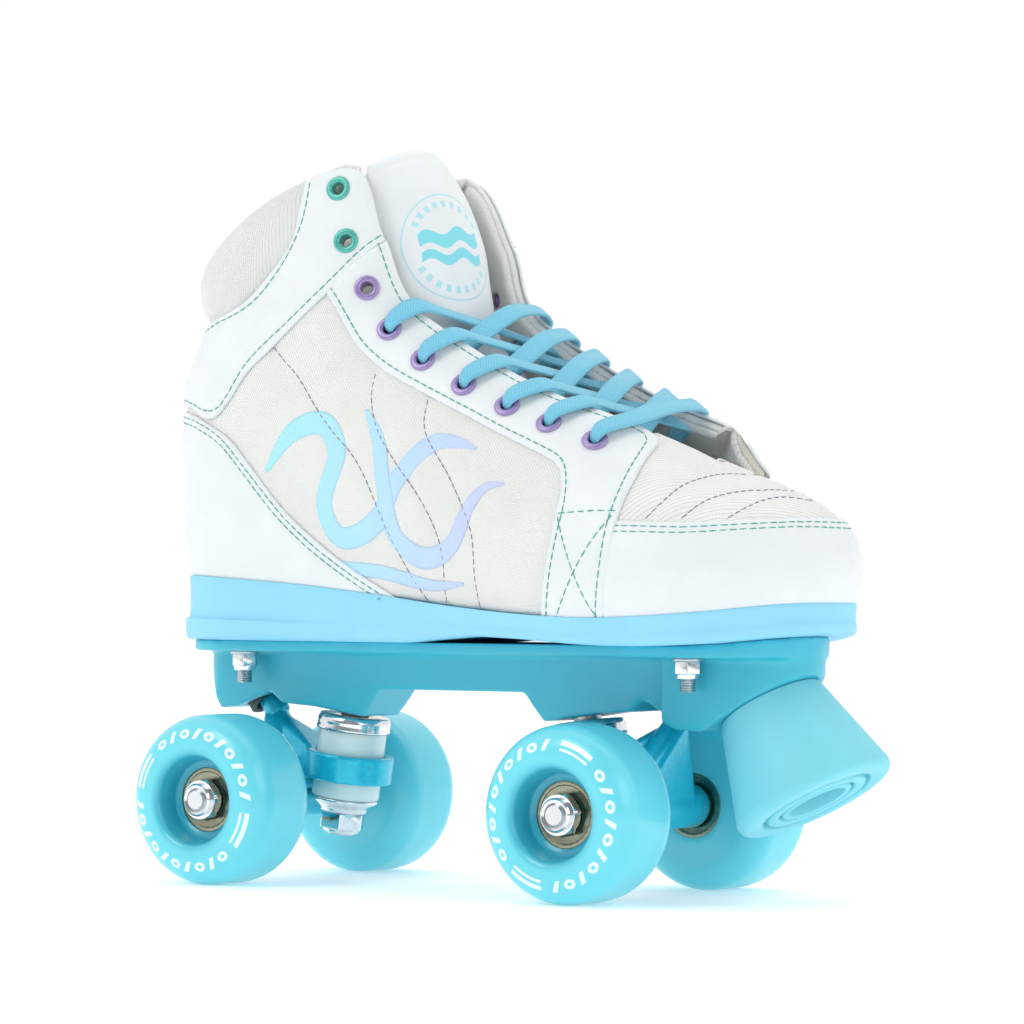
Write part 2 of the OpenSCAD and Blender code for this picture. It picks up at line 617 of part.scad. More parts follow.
// --- toe stop ----------------------------------------------------------------------
stop_round = 2.4;
insert_d = 11;
insert_len = 13;
stop_bolt_d = 8;
stop_recess_d = 19.4;
stop_recess_depth = 15;
function arc(cx, cy, r, a0, a1, n) = [for (i = [0:n]) let (a = a0 + (a1 - a0) * i / n) [cx + r * cos(a), cy + r * sin(a)]];
module toe_stop() {
    r0 = stop_top_d / 2;
    r1 = stop_end_d / 2;
    end = stop_len;
    color("#8cd5e2") place() stop_frame() difference() {
        rotate_extrude() polygon(concat(
            [[stop_bolt_d / 2 + 0.15, 0.05], [r0 - 0.6, 0.05], [r0, 0.65]],
            arc(r1 - stop_round - 0.2, end - stop_round, stop_round, 8, 90, 6),
            [
                [19.3, end], [19.1, end - 2.6], [17.5, end - 2.6], [17.3, end],
                [13.5, end], [13.3, end - 2.6], [12.3, end - 2.6], [12.1, end],
                [stop_recess_d / 2, end], [stop_recess_d / 2 - 0.4, end - stop_recess_depth],
                [stop_bolt_d / 2 + 0.15, end - stop_recess_depth]
            ]
        ));
    }
}
module toe_stop_bolt() {
    color("#b9bec2") place() stop_frame() difference() {
        union() {
            translate([0, 0, -insert_len + 1.5]) cylinder(d = stop_bolt_d, h = stop_len - stop_recess_depth + insert_len);
            translate([0, 0, stop_len - stop_recess_depth + 0.05]) cylinder(d = 17, h = 1.6);
            translate([0, 0, stop_len - stop_recess_depth + 1.6]) cylinder(d = 13, h = 5.4);
        }
        translate([0, 0, stop_len - stop_recess_depth + 3]) cylinder(d = 6 / cos(30), h = 6, $fn = 6);
    }
}
module toe_stop_insert() {
    color("#c8a650") place() stop_frame() translate([0, 0, -insert_len]) difference() {
        cylinder(d = insert_d, h = insert_len);
        translate([0, 0, -1]) cylinder(d = stop_bolt_d + 2 * e, h = insert_len + 2);
    }
}

// --- trucks: fixed parts -------------------------------------------------------------
cup_r = 8;
cup_depth = 13.2;
// Distances down the kingpin from the plate's block.
retainer_top = 1.2;
retainer_h = 5.2;
ring_mid = 19.2;
seat_depth = 3;
ring_top = ring_mid - ring_h / 2;
ring_base = ring_mid + ring_h / 2;
lower_cushion_end = 30;
kingpin_len = 43;
cushion_boss_r = 7.6;
ring_bore_r = 8.4;
// Ball centre in the pivot frame.
ball_up = 5.97;
module pivot_cup(s) {
    color("#26292b") place() pivot_frame(s) difference() {
        translate([0, 0, -0.8]) cylinder(r = cup_r, h = cup_depth + 0.8);
        translate([0, 0, ball_up]) sphere(r = pivot_r + 0.06);
        translate([0, 0, -2]) cylinder(r = pivot_r - 0.35, h = 2 + ball_up);
        translate([0, 0, -0.9]) cylinder(r1 = pivot_r + 0.6, r2 = pivot_r - 0.35, h = 2.4, $fn = 48);
    }
}
module kingpin(s) {
    color("#c4c9cd") place() kingpin_frame(s) {
        translate([0, 0, -kingpin_len]) cylinder(d = kingpin_d, h = kingpin_len + 19);
        translate([0, 0, 19]) cylinder(d = 15 / cos(30), h = 4.4, $fn = 6);
    }
}
module kingpin_nut(s) {
    color("#d0d4d7") place() kingpin_frame(s) difference() {
        union() {
            translate([0, 0, -41]) cylinder(d = kingpin_nut_af / cos(30), h = 5.8, $fn = 6);
            translate([0, 0, -42.4]) cylinder(d = 12.4, h = 1.4 + e);
        }
        translate([0, 0, -50]) cylinder(d = kingpin_d + 2 * e, h = 20);
    }
}
module upper_retainer(s) {
    color("#dfe3e6") place() kingpin_frame(s) translate([0, 0, -retainer_top - retainer_h]) difference() {
        rotate_extrude() polygon([
            [kingpin_d / 2 + 0.1, retainer_h], [kingpin_d / 2 + 0.1, retainer_h - 1.6],
            [cushion_d / 2 + 0.06, retainer_h - 1.6], [cushion_d / 2 + 0.06, 1], [cushion_d / 2 + 0.5, 0],
            [12.9, 0], [13, 0.8], [12.7, 1.6], [12.8, 3.6], [12, retainer_h]
        ]);
    }
}
module lower_retainer(s) {
    color("#dfe3e6") place() kingpin_frame(s) translate([0, 0, -lower_cushion_end - e]) rotate_extrude() polygon([
        [kingpin_d / 2 + 0.1, 0], [11.3, 0], [11.8, -0.5], [11.5, -1.3], [8.6, -3.4], [8, -5.1],
        [kingpin_d / 2 + 0.1, -5.1]
    ]);
}
module upper_cushion(s) {
    top = retainer_top + 1.6 + e;
    color("#dbe6e2") place() kingpin_frame(s) difference() {
        union() {
            translate([0, 0, -(ring_top + seat_depth - e)])
                cylinder(d = cushion_d - 0.1, h = ring_top + seat_depth - top - e);
            translate([0, 0, -(ring_mid - 0.1)]) cylinder(r = cushion_boss_r, h = 4);
        }
        translate([0, 0, -50]) cylinder(d = kingpin_d + 2 * e, h = 60);
    }
}
module lower_cushion(s) {
    color("#dbe6e2") place() kingpin_frame(s) difference() {
        union() {
            translate([0, 0, -lower_cushion_end])
                cylinder(d = cushion_d - 0.1, h = lower_cushion_end - ring_base + seat_depth - e);
            translate([0, 0, -(ring_mid + 3)]) cylinder(r = cushion_boss_r, h = 2.9);
        }
        translate([0, 0, -50]) cylinder(d = kingpin_d + 2 * e, h = 60);
    }
}
module pivot_cup_rear() { pivot_cup(-1); }
module kingpin_rear() { kingpin(-1); }
module kingpin_nut_rear() { kingpin_nut(-1); }
module upper_retainer_rear() { upper_retainer(-1); }
module lower_retainer_rear() { lower_retainer(-1); }
module upper_cushion_rear() { upper_cushion(-1); }
module lower_cushion_rear() { lower_cushion(-1); }
module pivot_cup_front() { pivot_cup(1); }
module kingpin_front() { kingpin(1); }
module kingpin_nut_front() { kingpin_nut(1); }
module upper_retainer_front() { upper_retainer(1); }
module lower_retainer_front() { lower_retainer(1); }
module upper_cushion_front() { upper_cushion(1); }
module lower_cushion_front() { lower_cushion(1); }

// --- trucks: steering parts ----------------------------------------------------------
bearing_in_y = inner_face_y + 0.2;
bearing_out_y = bearing_in_y + bearing_w + bearing_gap;
hanger_half = bearing_in_y - 0.85;
housing_r = 7.4;
axle_tip = 58.1;
module across(y0, y1, s) {
    // A cylinder's frame along +Y from y0, mirrored for s = -1.
    mirror([0, s < 0 ? 1 : 0, 0]) translate([0, y0, 0]) rotate([-90, 0, 0]) children();
}
module hanger(s) {
    color("#1fb5cf") place() mirror([s < 0 ? 1 : 0, 0, 0]) difference() {
        union() {
            kingpin_frame(1) translate([0, 0, -ring_base]) cylinder(d = ring_d, h = ring_h);
            translate([axle_x, hanger_half, axle_z]) rotate([90, 0, 0]) cylinder(r = housing_r, h = 2 * hanger_half);
            // wing from the pivot's neck down to the axle housing
            hull() {
                translate([82.4, 0, 55.6]) sphere(r = 4.6, $fn = 24);
                translate([axle_x + 0.6, 19, axle_z + 1.5]) rotate([90, 0, 0]) cylinder(r = 5.6, h = 38, $fn = 32);
            }
            // arm that carries the ring
            hull() {
                translate([80, 0, 53]) sphere(r = 4.4, $fn = 24);
                translate([62, 9, 42]) rotate([90, 0, 0]) cylinder(r = 4, h = 18, $fn = 32);
                translate([axle_x, 12, axle_z + 2]) rotate([90, 0, 0]) cylinder(r = 5, h = 24, $fn = 32);
            }
            pivot_frame(1) {
                translate([0, 0, -6.5]) cylinder(r = 4.4, h = 6.5 + ball_up);
                translate([0, 0, ball_up]) sphere(r = pivot_r);
            }
        }
        kingpin_frame(1) translate([0, 0, -60]) cylinder(r = ring_bore_r, h = 80);
        kingpin_frame(1) translate([0, 0, -ring_top - seat_depth]) cylinder(d = cushion_d + 0.3, h = 20);
        kingpin_frame(1) translate([0, 0, -60]) cylinder(d = cushion_d + 0.3, h = 60 - ring_base + seat_depth);
        translate([axle_x, 70, axle_z]) rotate([90, 0, 0]) cylinder(d = axle_d + 2 * e, h = 140);
    }
}
module axle(s) {
    color("#c9ced1") place() translate([s * axle_x, axle_tip, axle_z]) rotate([90, 0, 0]) cylinder(d = axle_d, h = 2 * axle_tip);
}
module at_axle_ends(s) {
    for (k = [-1, 1]) translate([s * axle_x, 0, axle_z]) mirror([0, k < 0 ? 1 : 0, 0]) rotate([-90, 0, 0]) children();
}
module ring_part(ro, ri, z, h) {
    translate([0, 0, z]) difference() {
        cylinder(r = ro, h = h);
        translate([0, 0, -1]) cylinder(r = ri, h = h + 2);
    }
}
inner_ring_r = 6;
module bearing_inner_rings(s) {
    color("#b9a35c") place() at_axle_ends(s) {
        ring_part(inner_ring_r, axle_d / 2 + e, bearing_in_y, bearing_w);
        ring_part(inner_ring_r, axle_d / 2 + e, bearing_out_y, bearing_w);
        ring_part(5.3, axle_d / 2 + 0.2, bearing_in_y + bearing_w + e, bearing_gap - 2 * e);
    }
}
module axle_washers(s) {
    color("#d5d9dc") place() at_axle_ends(s) {
        ring_part(5.9, axle_d / 2 + 0.15, bearing_in_y - 0.82, 0.8);
        ring_part(5.9, axle_d / 2 + 0.15, bearing_out_y + bearing_w + e, 0.8);
    }
}
module axle_nuts(s) {
    nut_y = bearing_out_y + bearing_w + 0.84;
    color("#d0d4d7") place() at_axle_ends(s) difference() {
        union() {
            translate([0, 0, nut_y]) cylinder(d = axle_nut_af / cos(30), h = 4.2, $fn = 6);
            translate([0, 0, nut_y + 4.2 - e]) cylinder(d = 11.6, h = 1.4);
        }
        translate([0, 0, nut_y - 5]) cylinder(d = axle_d + 2 * e, h = 20);
    }
}
module hanger_rear() { hanger(-1); }
module axle_rear() { axle(-1); }
module bearing_inner_rings_rear() { bearing_inner_rings(-1); }
module axle_washers_rear() { axle_washers(-1); }
module axle_nuts_rear() { axle_nuts(-1); }
module hanger_front() { hanger(1); }
module axle_front() { axle(1); }
module bearing_inner_rings_front() { bearing_inner_rings(1); }
module axle_washers_front() { axle_washers(1); }
module axle_nuts_front() { axle_nuts(1); }

// --- wheels --------------------------------------------------------------------------
module at_wheel(s, k) {
    // s = -1 rear, 1 front; k = -1 right, 1 left; local +Z points to the wheel's outer side.
    translate([s * axle_x, 0, axle_z]) mirror([0, k < 0 ? 1 : 0, 0]) rotate([-90, 0, 0]) children();
}
module wheel(s, k) {
    y0 = inner_face_y;
    y1 = inner_face_y + wheel_w;
    rw = wheel_d / 2;
    seat = bearing_od / 2;
    deep = bearing_out_y + bearing_w;
    color("#80d8e6") place() at_wheel(s, k) rotate_extrude($fn = 96) polygon(concat(
        [[seat + 0.4, y0], [13, y0]],
        arc(rw - wheel_lip_r, y0 + wheel_lip_r, wheel_lip_r, -90, 0, 8),
        arc(rw - wheel_lip_r, y1 - wheel_lip_r, wheel_lip_r, 0, 90, 8),
        arc(hub_mouth_d / 2 + 2.6, y1 - 2.6, 2.6, 90, 170, 5),
        [[12.6, deep + 2.2], [seat + 0.5, deep + 0.2], [seat + e, deep], [seat + e, bearing_out_y - e]],
        [[9.6, bearing_out_y - e], [9.6, bearing_in_y + bearing_w + e]],
        [[seat + e, bearing_in_y + bearing_w + e], [seat + e, y0 + 0.2]]
    ));
}
ball_pitch_r = 7.75;
ball_r = 1.65;
module bearing_outers(s, k) {
    color("#b9a35c") place() at_wheel(s, k) for (y = [bearing_in_y, bearing_out_y]) {
        rotate_extrude() polygon([
            [bearing_od / 2, y], [bearing_od / 2, y + bearing_w], [9.5, y + bearing_w],
            [9.5, y + bearing_w - 0.4], [inner_ring_r + 0.2, y + bearing_w - 0.4],
            [inner_ring_r + 0.2, y + bearing_w - 0.8], [9.45, y + bearing_w - 0.8],
            [9.45, y + 0.8], [inner_ring_r + 0.2, y + 0.8], [inner_ring_r + 0.2, y + 0.4],
            [9.5, y + 0.4], [9.5, y]
        ]);
    }
}
module bearing_balls(s, k) {
    color("#c9ced1") place() at_wheel(s, k)
        for (y = [bearing_in_y, bearing_out_y], i = [0:6])
            rotate([0, 0, i * 360 / 7]) translate([ball_pitch_r, 0, y + bearing_w / 2]) sphere(r = ball_r, $fn = 24);
}
module wheel_rear_right() { wheel(-1, -1); }
module bearing_outers_rear_right() { bearing_outers(-1, -1); }
module bearing_balls_rear_right() { bearing_balls(-1, -1); }
module wheel_rear_left() { wheel(-1, 1); }
module bearing_outers_rear_left() { bearing_outers(-1, 1); }
module bearing_balls_rear_left() { bearing_balls(-1, 1); }
module wheel_front_right() { wheel(1, -1); }
module bearing_outers_front_right() { bearing_outers(1, -1); }
module bearing_balls_front_right() { bearing_balls(1, -1); }
module wheel_front_left() { wheel(1, 1); }
module bearing_outers_front_left() { bearing_outers(1, 1); }
module bearing_balls_front_left() { bearing_balls(1, 1); }

// --- what is drawn ---------------------------------------------------------------
outsole();
insole();
vamp();
quarter_lateral();
quarter_medial();
toe_cap();
heel_counter();
ankle_strap();
eyestay_lateral();
eyestay_medial();
collar_pad();
tongue();
laces();
eyelets_teal();
eyelets_purple();
plate();
mounting_bolts();
mounting_washers();
mounting_nuts();
toe_stop();
toe_stop_bolt();
toe_stop_insert();
pivot_cup_rear();
kingpin_rear();
kingpin_nut_rear();
upper_retainer_rear();
lower_retainer_rear();
upper_cushion_rear();
lower_cushion_rear();
pivot_cup_front();
kingpin_front();
kingpin_nut_front();
upper_retainer_front();
lower_retainer_front();
upper_cushion_front();
lower_cushion_front();
hanger_rear();
axle_rear();
bearing_inner_rings_rear();
axle_washers_rear();
axle_nuts_rear();
hanger_front();
axle_front();
bearing_inner_rings_front();
axle_washers_front();
axle_nuts_front();
wheel_rear_right();
bearing_outers_rear_right();
bearing_balls_rear_right();
wheel_rear_left();
bearing_outers_rear_left();
bearing_balls_rear_left();
wheel_front_right();
bearing_outers_front_right();
bearing_balls_front_right();
wheel_front_left();
bearing_outers_front_left();
bearing_balls_front_left();
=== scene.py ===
"""Looks for a quad roller skate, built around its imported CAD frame.

Points are millimetres in the boot's own frame, x = 0 at the middle of the wheelbase, y = 0 on the
centre line and z = 0 on the ground, until to_world() turns them into the row's frame in metres.
A place on the boot's side is a pair (a, v): a counts the net's rows from the toe (0) along the outer
side to the heel (12) and back along the inner side (24), and v goes from the sole (0) to the rim (1).
"""

import json
import math

import bmesh
import bpy
import numpy as np
from mathutils import Matrix, Vector


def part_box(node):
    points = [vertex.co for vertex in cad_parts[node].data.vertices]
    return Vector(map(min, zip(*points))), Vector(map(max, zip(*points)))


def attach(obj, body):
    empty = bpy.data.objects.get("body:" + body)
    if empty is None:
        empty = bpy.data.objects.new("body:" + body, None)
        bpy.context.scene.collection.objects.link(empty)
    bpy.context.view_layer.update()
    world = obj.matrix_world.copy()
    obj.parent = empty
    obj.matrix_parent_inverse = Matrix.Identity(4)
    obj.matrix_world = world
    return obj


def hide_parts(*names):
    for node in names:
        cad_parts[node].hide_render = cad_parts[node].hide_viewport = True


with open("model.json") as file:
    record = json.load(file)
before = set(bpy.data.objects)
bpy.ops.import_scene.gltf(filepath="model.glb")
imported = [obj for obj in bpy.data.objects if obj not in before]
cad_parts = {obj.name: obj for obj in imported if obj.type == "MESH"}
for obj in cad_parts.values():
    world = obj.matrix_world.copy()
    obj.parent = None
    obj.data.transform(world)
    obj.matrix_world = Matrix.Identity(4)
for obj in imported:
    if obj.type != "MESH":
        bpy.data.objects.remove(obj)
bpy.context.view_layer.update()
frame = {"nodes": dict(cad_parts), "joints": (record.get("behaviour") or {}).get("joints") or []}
scene = bpy.context.scene

MM = 0.001
ROOT = "boot_and_plate"
SPINS = [j for j in frame["joints"] if j["name"].startswith("spin")]
ORIGIN = np.array([sum(j["pos_m"][0] for j in SPINS) / len(SPINS), 0, 0])


def to_world(points):
    return np.asarray(points, float) * MM + ORIGIN


# --- material nodes -----------------------------------------------------------------------------
class Nodes:
    """A material and short calls that add nodes to it."""

    def __init__(self, name, color, roughness, metallic=0.0, **extra):
        self.mat = bpy.data.materials.new(name)
        self.mat.use_nodes = True
        self.tree = self.mat.node_tree
        self.bsdf = self.tree.nodes["Principled BSDF"]
        self.bsdf.inputs["Base Color"].default_value = (*color, 1)
        self.bsdf.inputs["Roughness"].default_value = roughness
        self.bsdf.inputs["Metallic"].default_value = metallic
        for key, value in extra.items():
            self.bsdf.inputs[key.replace("_", " ")].default_value = value

    def add(self, kind, **settings):
        node = self.tree.nodes.new(kind)
        for key, value in settings.items():
            setattr(node, key, value)
        return node

    def times(self, *values, **more):
        return self.math("MULTIPLY", *values, **more)

    def plus(self, *values, **more):
        return self.math("ADD", *values, **more)

    def minus(self, *values, **more):
        return self.math("SUBTRACT", *values, **more)

    def link(self, source, target):
        self.tree.links.new(source, target)

    def math(self, operation, *values, clamp=False):
        node = self.add("ShaderNodeMath", operation=operation, use_clamp=clamp)
        for i, value in enumerate(values):
            self.put(value, node.inputs[i])
        return node.outputs[0]

    def put(self, value, socket):
        if isinstance(value, bpy.types.NodeSocket):
            self.link(value, socket)
        else:
            socket.default_value = value

    def place(self):
        return self.add("ShaderNodeTexCoord").outputs["Object"]

    def uv(self, turn=0.0):
        """The two UV coordinates in millimetres, turned by an angle."""
        spot = self.add("ShaderNodeMapping", vector_type="POINT")
        spot.inputs["Scale"].default_value = (1 / MM, 1 / MM, 1)
        spot.inputs["Rotation"].default_value = (0, 0, turn)
        self.link(self.add("ShaderNodeUVMap", uv_map="UVMap").outputs[0], spot.inputs[0])
        split = self.add("ShaderNodeSeparateXYZ")
        self.link(spot.outputs[0], split.inputs[0])
        return split.outputs[0], split.outputs[1]

    def noise(self, scale_mm, detail=3.0, roughness=0.5):
        node = self.add("ShaderNodeTexNoise")
        node.inputs["Scale"].default_value = 1 / (scale_mm * MM)
        node.inputs["Detail"].default_value = detail
        node.inputs["Roughness"].default_value = roughness
        self.link(self.place(), node.inputs["Vector"])
        return node.outputs["Fac"]

    def cells(self, scale_mm):
        node = self.add("ShaderNodeTexVoronoi", feature="DISTANCE_TO_EDGE")
        node.inputs["Scale"].default_value = 1 / (scale_mm * MM)
        self.link(self.place(), node.inputs["Vector"])
        return node.outputs["Distance"]

    def mix(self, factor, first, second):
        node = self.add("ShaderNodeMix", data_type="RGBA")
        self.put(factor, node.inputs[0])
        for value, socket in ((first, node.inputs[6]), (second, node.inputs[7])):
            self.put((*value, 1) if isinstance(value, tuple) else value, socket)
        return node.outputs[2]

    def ramp(self, factor, low, high):
        """0 below low, 1 above high, and a smooth rise between."""
        node = self.add("ShaderNodeMapRange", interpolation_type="SMOOTHSTEP")
        self.put(factor, node.inputs[0])
        node.inputs[1].default_value = low
        node.inputs[2].default_value = high
        return node.outputs[0]

    def color(self, value):
        self.link(value, self.bsdf.inputs["Base Color"])

    def roughness(self, value):
        self.link(value, self.bsdf.inputs["Roughness"])

    def bump(self, height, depth_mm, strength=1.0):
        node = self.add("ShaderNodeBump")
        node.inputs["Strength"].default_value = strength
        node.inputs["Distance"].default_value = depth_mm * MM
        self.link(height, node.inputs["Height"])
        self.link(node.outputs[0], self.bsdf.inputs["Normal"])


def tinted(color, factor):
    return tuple(c * factor for c in color)


def leather_material(name, color):
    """Smooth synthetic leather: a fine pebbled grain, a soft sheen and slightly uneven gloss."""
    m = Nodes(name, color, 0.42, Coat_Weight=0.08, Coat_Roughness=0.35)
    grain = m.cells(0.9)
    cloud = m.noise(14, 3)
    m.color(m.mix(m.ramp(cloud, 0.3, 0.75), tinted(color, 0.965), color))
    m.roughness(m.math("MULTIPLY_ADD", cloud, 0.16, 0.34))
    m.bump(m.plus(m.ramp(grain, 0.0, 0.16), m.times(m.noise(0.5, 2), 0.4)), 0.05, 0.5)
    return m.mat


def weave_nodes(m, pitch, step, turn):
    """Height of a ribbed weave: rows of short threads, each row half a thread on from the last."""
    across, along = m.uv(turn)
    rib = m.math("ABSOLUTE", m.math("SINE", m.times(across, math.pi / pitch)))
    row = m.math("FLOOR", m.math("DIVIDE", across, pitch))
    shifted = m.math("MULTIPLY_ADD", row, step / 2, along)
    thread = m.math("ABSOLUTE", m.math("SINE", m.times(shifted, math.pi / step)))
    return m.times(m.math("POWER", rib, 0.6), m.math("MULTIPLY_ADD", thread, 0.55, 0.45))


def mesh_material(name, color, gap, pitch=0.95, step=1.25, turn=math.radians(38)):
    """Woven mesh: thread rows in relief with darker gaps between them."""
    m = Nodes(name, color, 0.85, Sheen_Weight=0.25, Sheen_Roughness=0.5)
    height = weave_nodes(m, pitch, step, turn)
    cloud = m.ramp(m.noise(18, 3), 0.3, 0.7)
    thread = m.mix(cloud, tinted(color, 0.96), color)
    m.color(m.mix(m.ramp(height, 0.05, 0.5), gap, thread))
    m.bump(height, 0.22, 0.8)
    return m.mat


def lining_material(name, color):
    """Soft brushed lining cloth."""
    m = Nodes(name, color, 0.92, Sheen_Weight=0.35, Sheen_Roughness=0.6)
    fibre = m.noise(0.6, 4, 0.7)
    m.color(m.mix(m.ramp(fibre, 0.3, 0.7), tinted(color, 0.86), color))
    m.bump(fibre, 0.25, 0.7)
    return m.mat


def foam_material(name, color):
    """Cut foam edge: open cells, a little yellowed."""
    m = Nodes(name, color, 0.95)
    cell = m.cells(0.8)
    m.color(m.mix(m.ramp(cell, 0.0, 0.3), tinted(color, 0.78), color))
    m.bump(cell, 0.3, 0.7)
    return m.mat


def lace_material(name, color):
    """Flat tubular braid: fine crossed threads."""
    m = Nodes(name, color, 0.72, Sheen_Weight=0.3, Sheen_Roughness=0.4)
    across, along = m.uv(math.radians(45))
    first = m.math("ABSOLUTE", m.math("SINE", m.times(across, math.pi / 0.75)))
    second = m.math("ABSOLUTE", m.math("SINE", m.times(along, math.pi / 0.75)))
    height = m.times(first, second)
    m.color(m.mix(m.ramp(height, 0.0, 0.35), tinted(color, 0.72), color))
    m.bump(height, 0.18, 0.8)
    return m.mat


def thread_material(name, color):
    m = Nodes(name, color, 0.6)
    m.color(m.mix(m.ramp(m.noise(1.2, 2), 0.35, 0.65), tinted(color, 0.75), color))
    m.bump(m.noise(0.3, 2), 0.08, 0.6)
    return m.mat


def moulded_material(name, color, roughness, grain_mm=0.7, depth=0.03, **extra):
    """Moulded plastic, rubber or foam: even colour with a fine skin texture and faint mottling."""
    m = Nodes(name, color, roughness, **extra)
    cloud = m.noise(22, 4)
    m.color(m.mix(m.ramp(cloud, 0.25, 0.75), tinted(color, 0.94), color))
    m.roughness(m.math("MULTIPLY_ADD", cloud, 0.14, roughness - 0.07))
    m.bump(m.noise(grain_mm, 3), depth, 0.5)
    return m.mat


def metal_material(name, color, roughness, streak_mm=3.0):
    """Plated steel with faint handling marks in its gloss."""
    m = Nodes(name, color, roughness, 1.0)
    mark = m.noise(streak_mm, 5, 0.65)
    m.color(m.mix(m.ramp(mark, 0.3, 0.8), tinted(color, 0.82), color))
    m.roughness(m.math("MULTIPLY_ADD", mark, 0.18, roughness - 0.06))
    m.bump(m.noise(1.1, 3), 0.02, 0.4)
    return m.mat


def painted_metal_material(name, color):
    m = Nodes(name, color, 0.3, 0.35, Coat_Weight=0.4, Coat_Roughness=0.15)
    m.color(m.mix(m.ramp(m.noise(1.6, 4), 0.3, 0.75), tinted(color, 0.85), color))
    m.bump(m.noise(0.5, 2), 0.02, 0.4)
    return m.mat


def threaded_material(name, color, pitch_mm, axis):
    """Steel with screw threads cut round one of the row's axes."""
    m = Nodes(name, color, 0.3, 1.0)
    wave = m.add("ShaderNodeTexWave", wave_type="BANDS", bands_direction=axis)
    wave.inputs["Scale"].default_value = math.pi / (10 * pitch_mm * MM)
    m.link(m.place(), wave.inputs["Vector"])
    m.color(m.mix(wave.outputs["Fac"], tinted(color, 0.6), color))
    m.bump(wave.outputs["Fac"], 0.3, 0.8)
    return m.mat


def print_material(name):
    """Soft ink on the side mesh, turning from aqua at the heel to lilac at the toe."""
    m = Nodes(name, (0.6, 0.9, 0.95), 0.7)
    split = m.add("ShaderNodeSeparateXYZ")
    m.link(m.place(), split.inputs[0])
    ramp = m.add("ShaderNodeValToRGB")
    stops = ((0.0, (0.33, 0.84, 0.84)), (0.45, (0.42, 0.76, 0.93)), (1.0, (0.60, 0.59, 0.92)))
    while len(ramp.color_ramp.elements) < len(stops):
        ramp.color_ramp.elements.new(0.5)
    for element, (spot, color) in zip(ramp.color_ramp.elements, stops):
        element.position = spot
        element.color = (*color, 1)
    reach = m.add("ShaderNodeMapRange")
    m.link(split.outputs[0], reach.inputs[0])
    reach.inputs[1].default_value = to_world((-75, 0, 0))[0]
    reach.inputs[2].default_value = to_world((45, 0, 0))[0]
    m.link(reach.outputs[0], ramp.inputs[0])
    height = weave_nodes(m, 0.95, 1.25, math.radians(38))
    m.color(m.mix(m.ramp(height, 0.0, 0.4), (0.80, 0.84, 0.86), ramp.outputs[0]))
    m.bump(height, 0.15, 0.7)
    return m.mat


def inside(m, value, low, high, soft):
    """1 where low < value < high, with soft edges."""
    return m.times(m.ramp(value, low - soft, low + soft),
                  m.minus(1.0, m.ramp(value, high - soft, high + soft)))


def badge_material(name, color, ink):
    """The tongue's leather with a round printed badge: a ring, a dashed ring and two waves."""
    m = Nodes(name, color, 0.42, Coat_Weight=0.08, Coat_Roughness=0.35)
    x, y = m.uv()
    soft = 0.12
    radius = m.math("SQRT", m.plus(m.times(x, x), m.times(y, y)))
    turn = m.math("ARCTAN2", y, x)
    ring = inside(m, radius, 17.7, 18.2, soft)
    dash = m.times(inside(m, radius, 13.4, 15.7, soft),
                  m.ramp(m.math("SINE", m.times(turn, 26)), -0.1, 0.2))
    gap = m.ramp(m.math("ABSOLUTE", m.math("SINE", turn)), 0.42, 0.5)
    swell = m.times(m.math("SINE", m.times(x, 0.52)), 1.3)
    upper = inside(m, m.minus(y, swell), 0.4, 5.2, soft)
    lower = inside(m, m.minus(y, swell), -5.4, -2.0, soft)
    waves = m.times(m.plus(upper, lower), inside(m, x, -12.0, 12.0, soft))
    pale = m.times(m.plus(ring, m.times(dash, gap)), 0.6)
    cloud = m.mix(m.ramp(m.noise(14, 3), 0.3, 0.75), tinted(color, 0.965), color)
    m.color(m.mix(m.plus(pale, waves, clamp=True), cloud, ink))
    m.bump(m.plus(m.ramp(m.cells(0.9), 0.0, 0.16), m.times(m.noise(0.5, 2), 0.4)), 0.05, 0.5)
    return m.mat


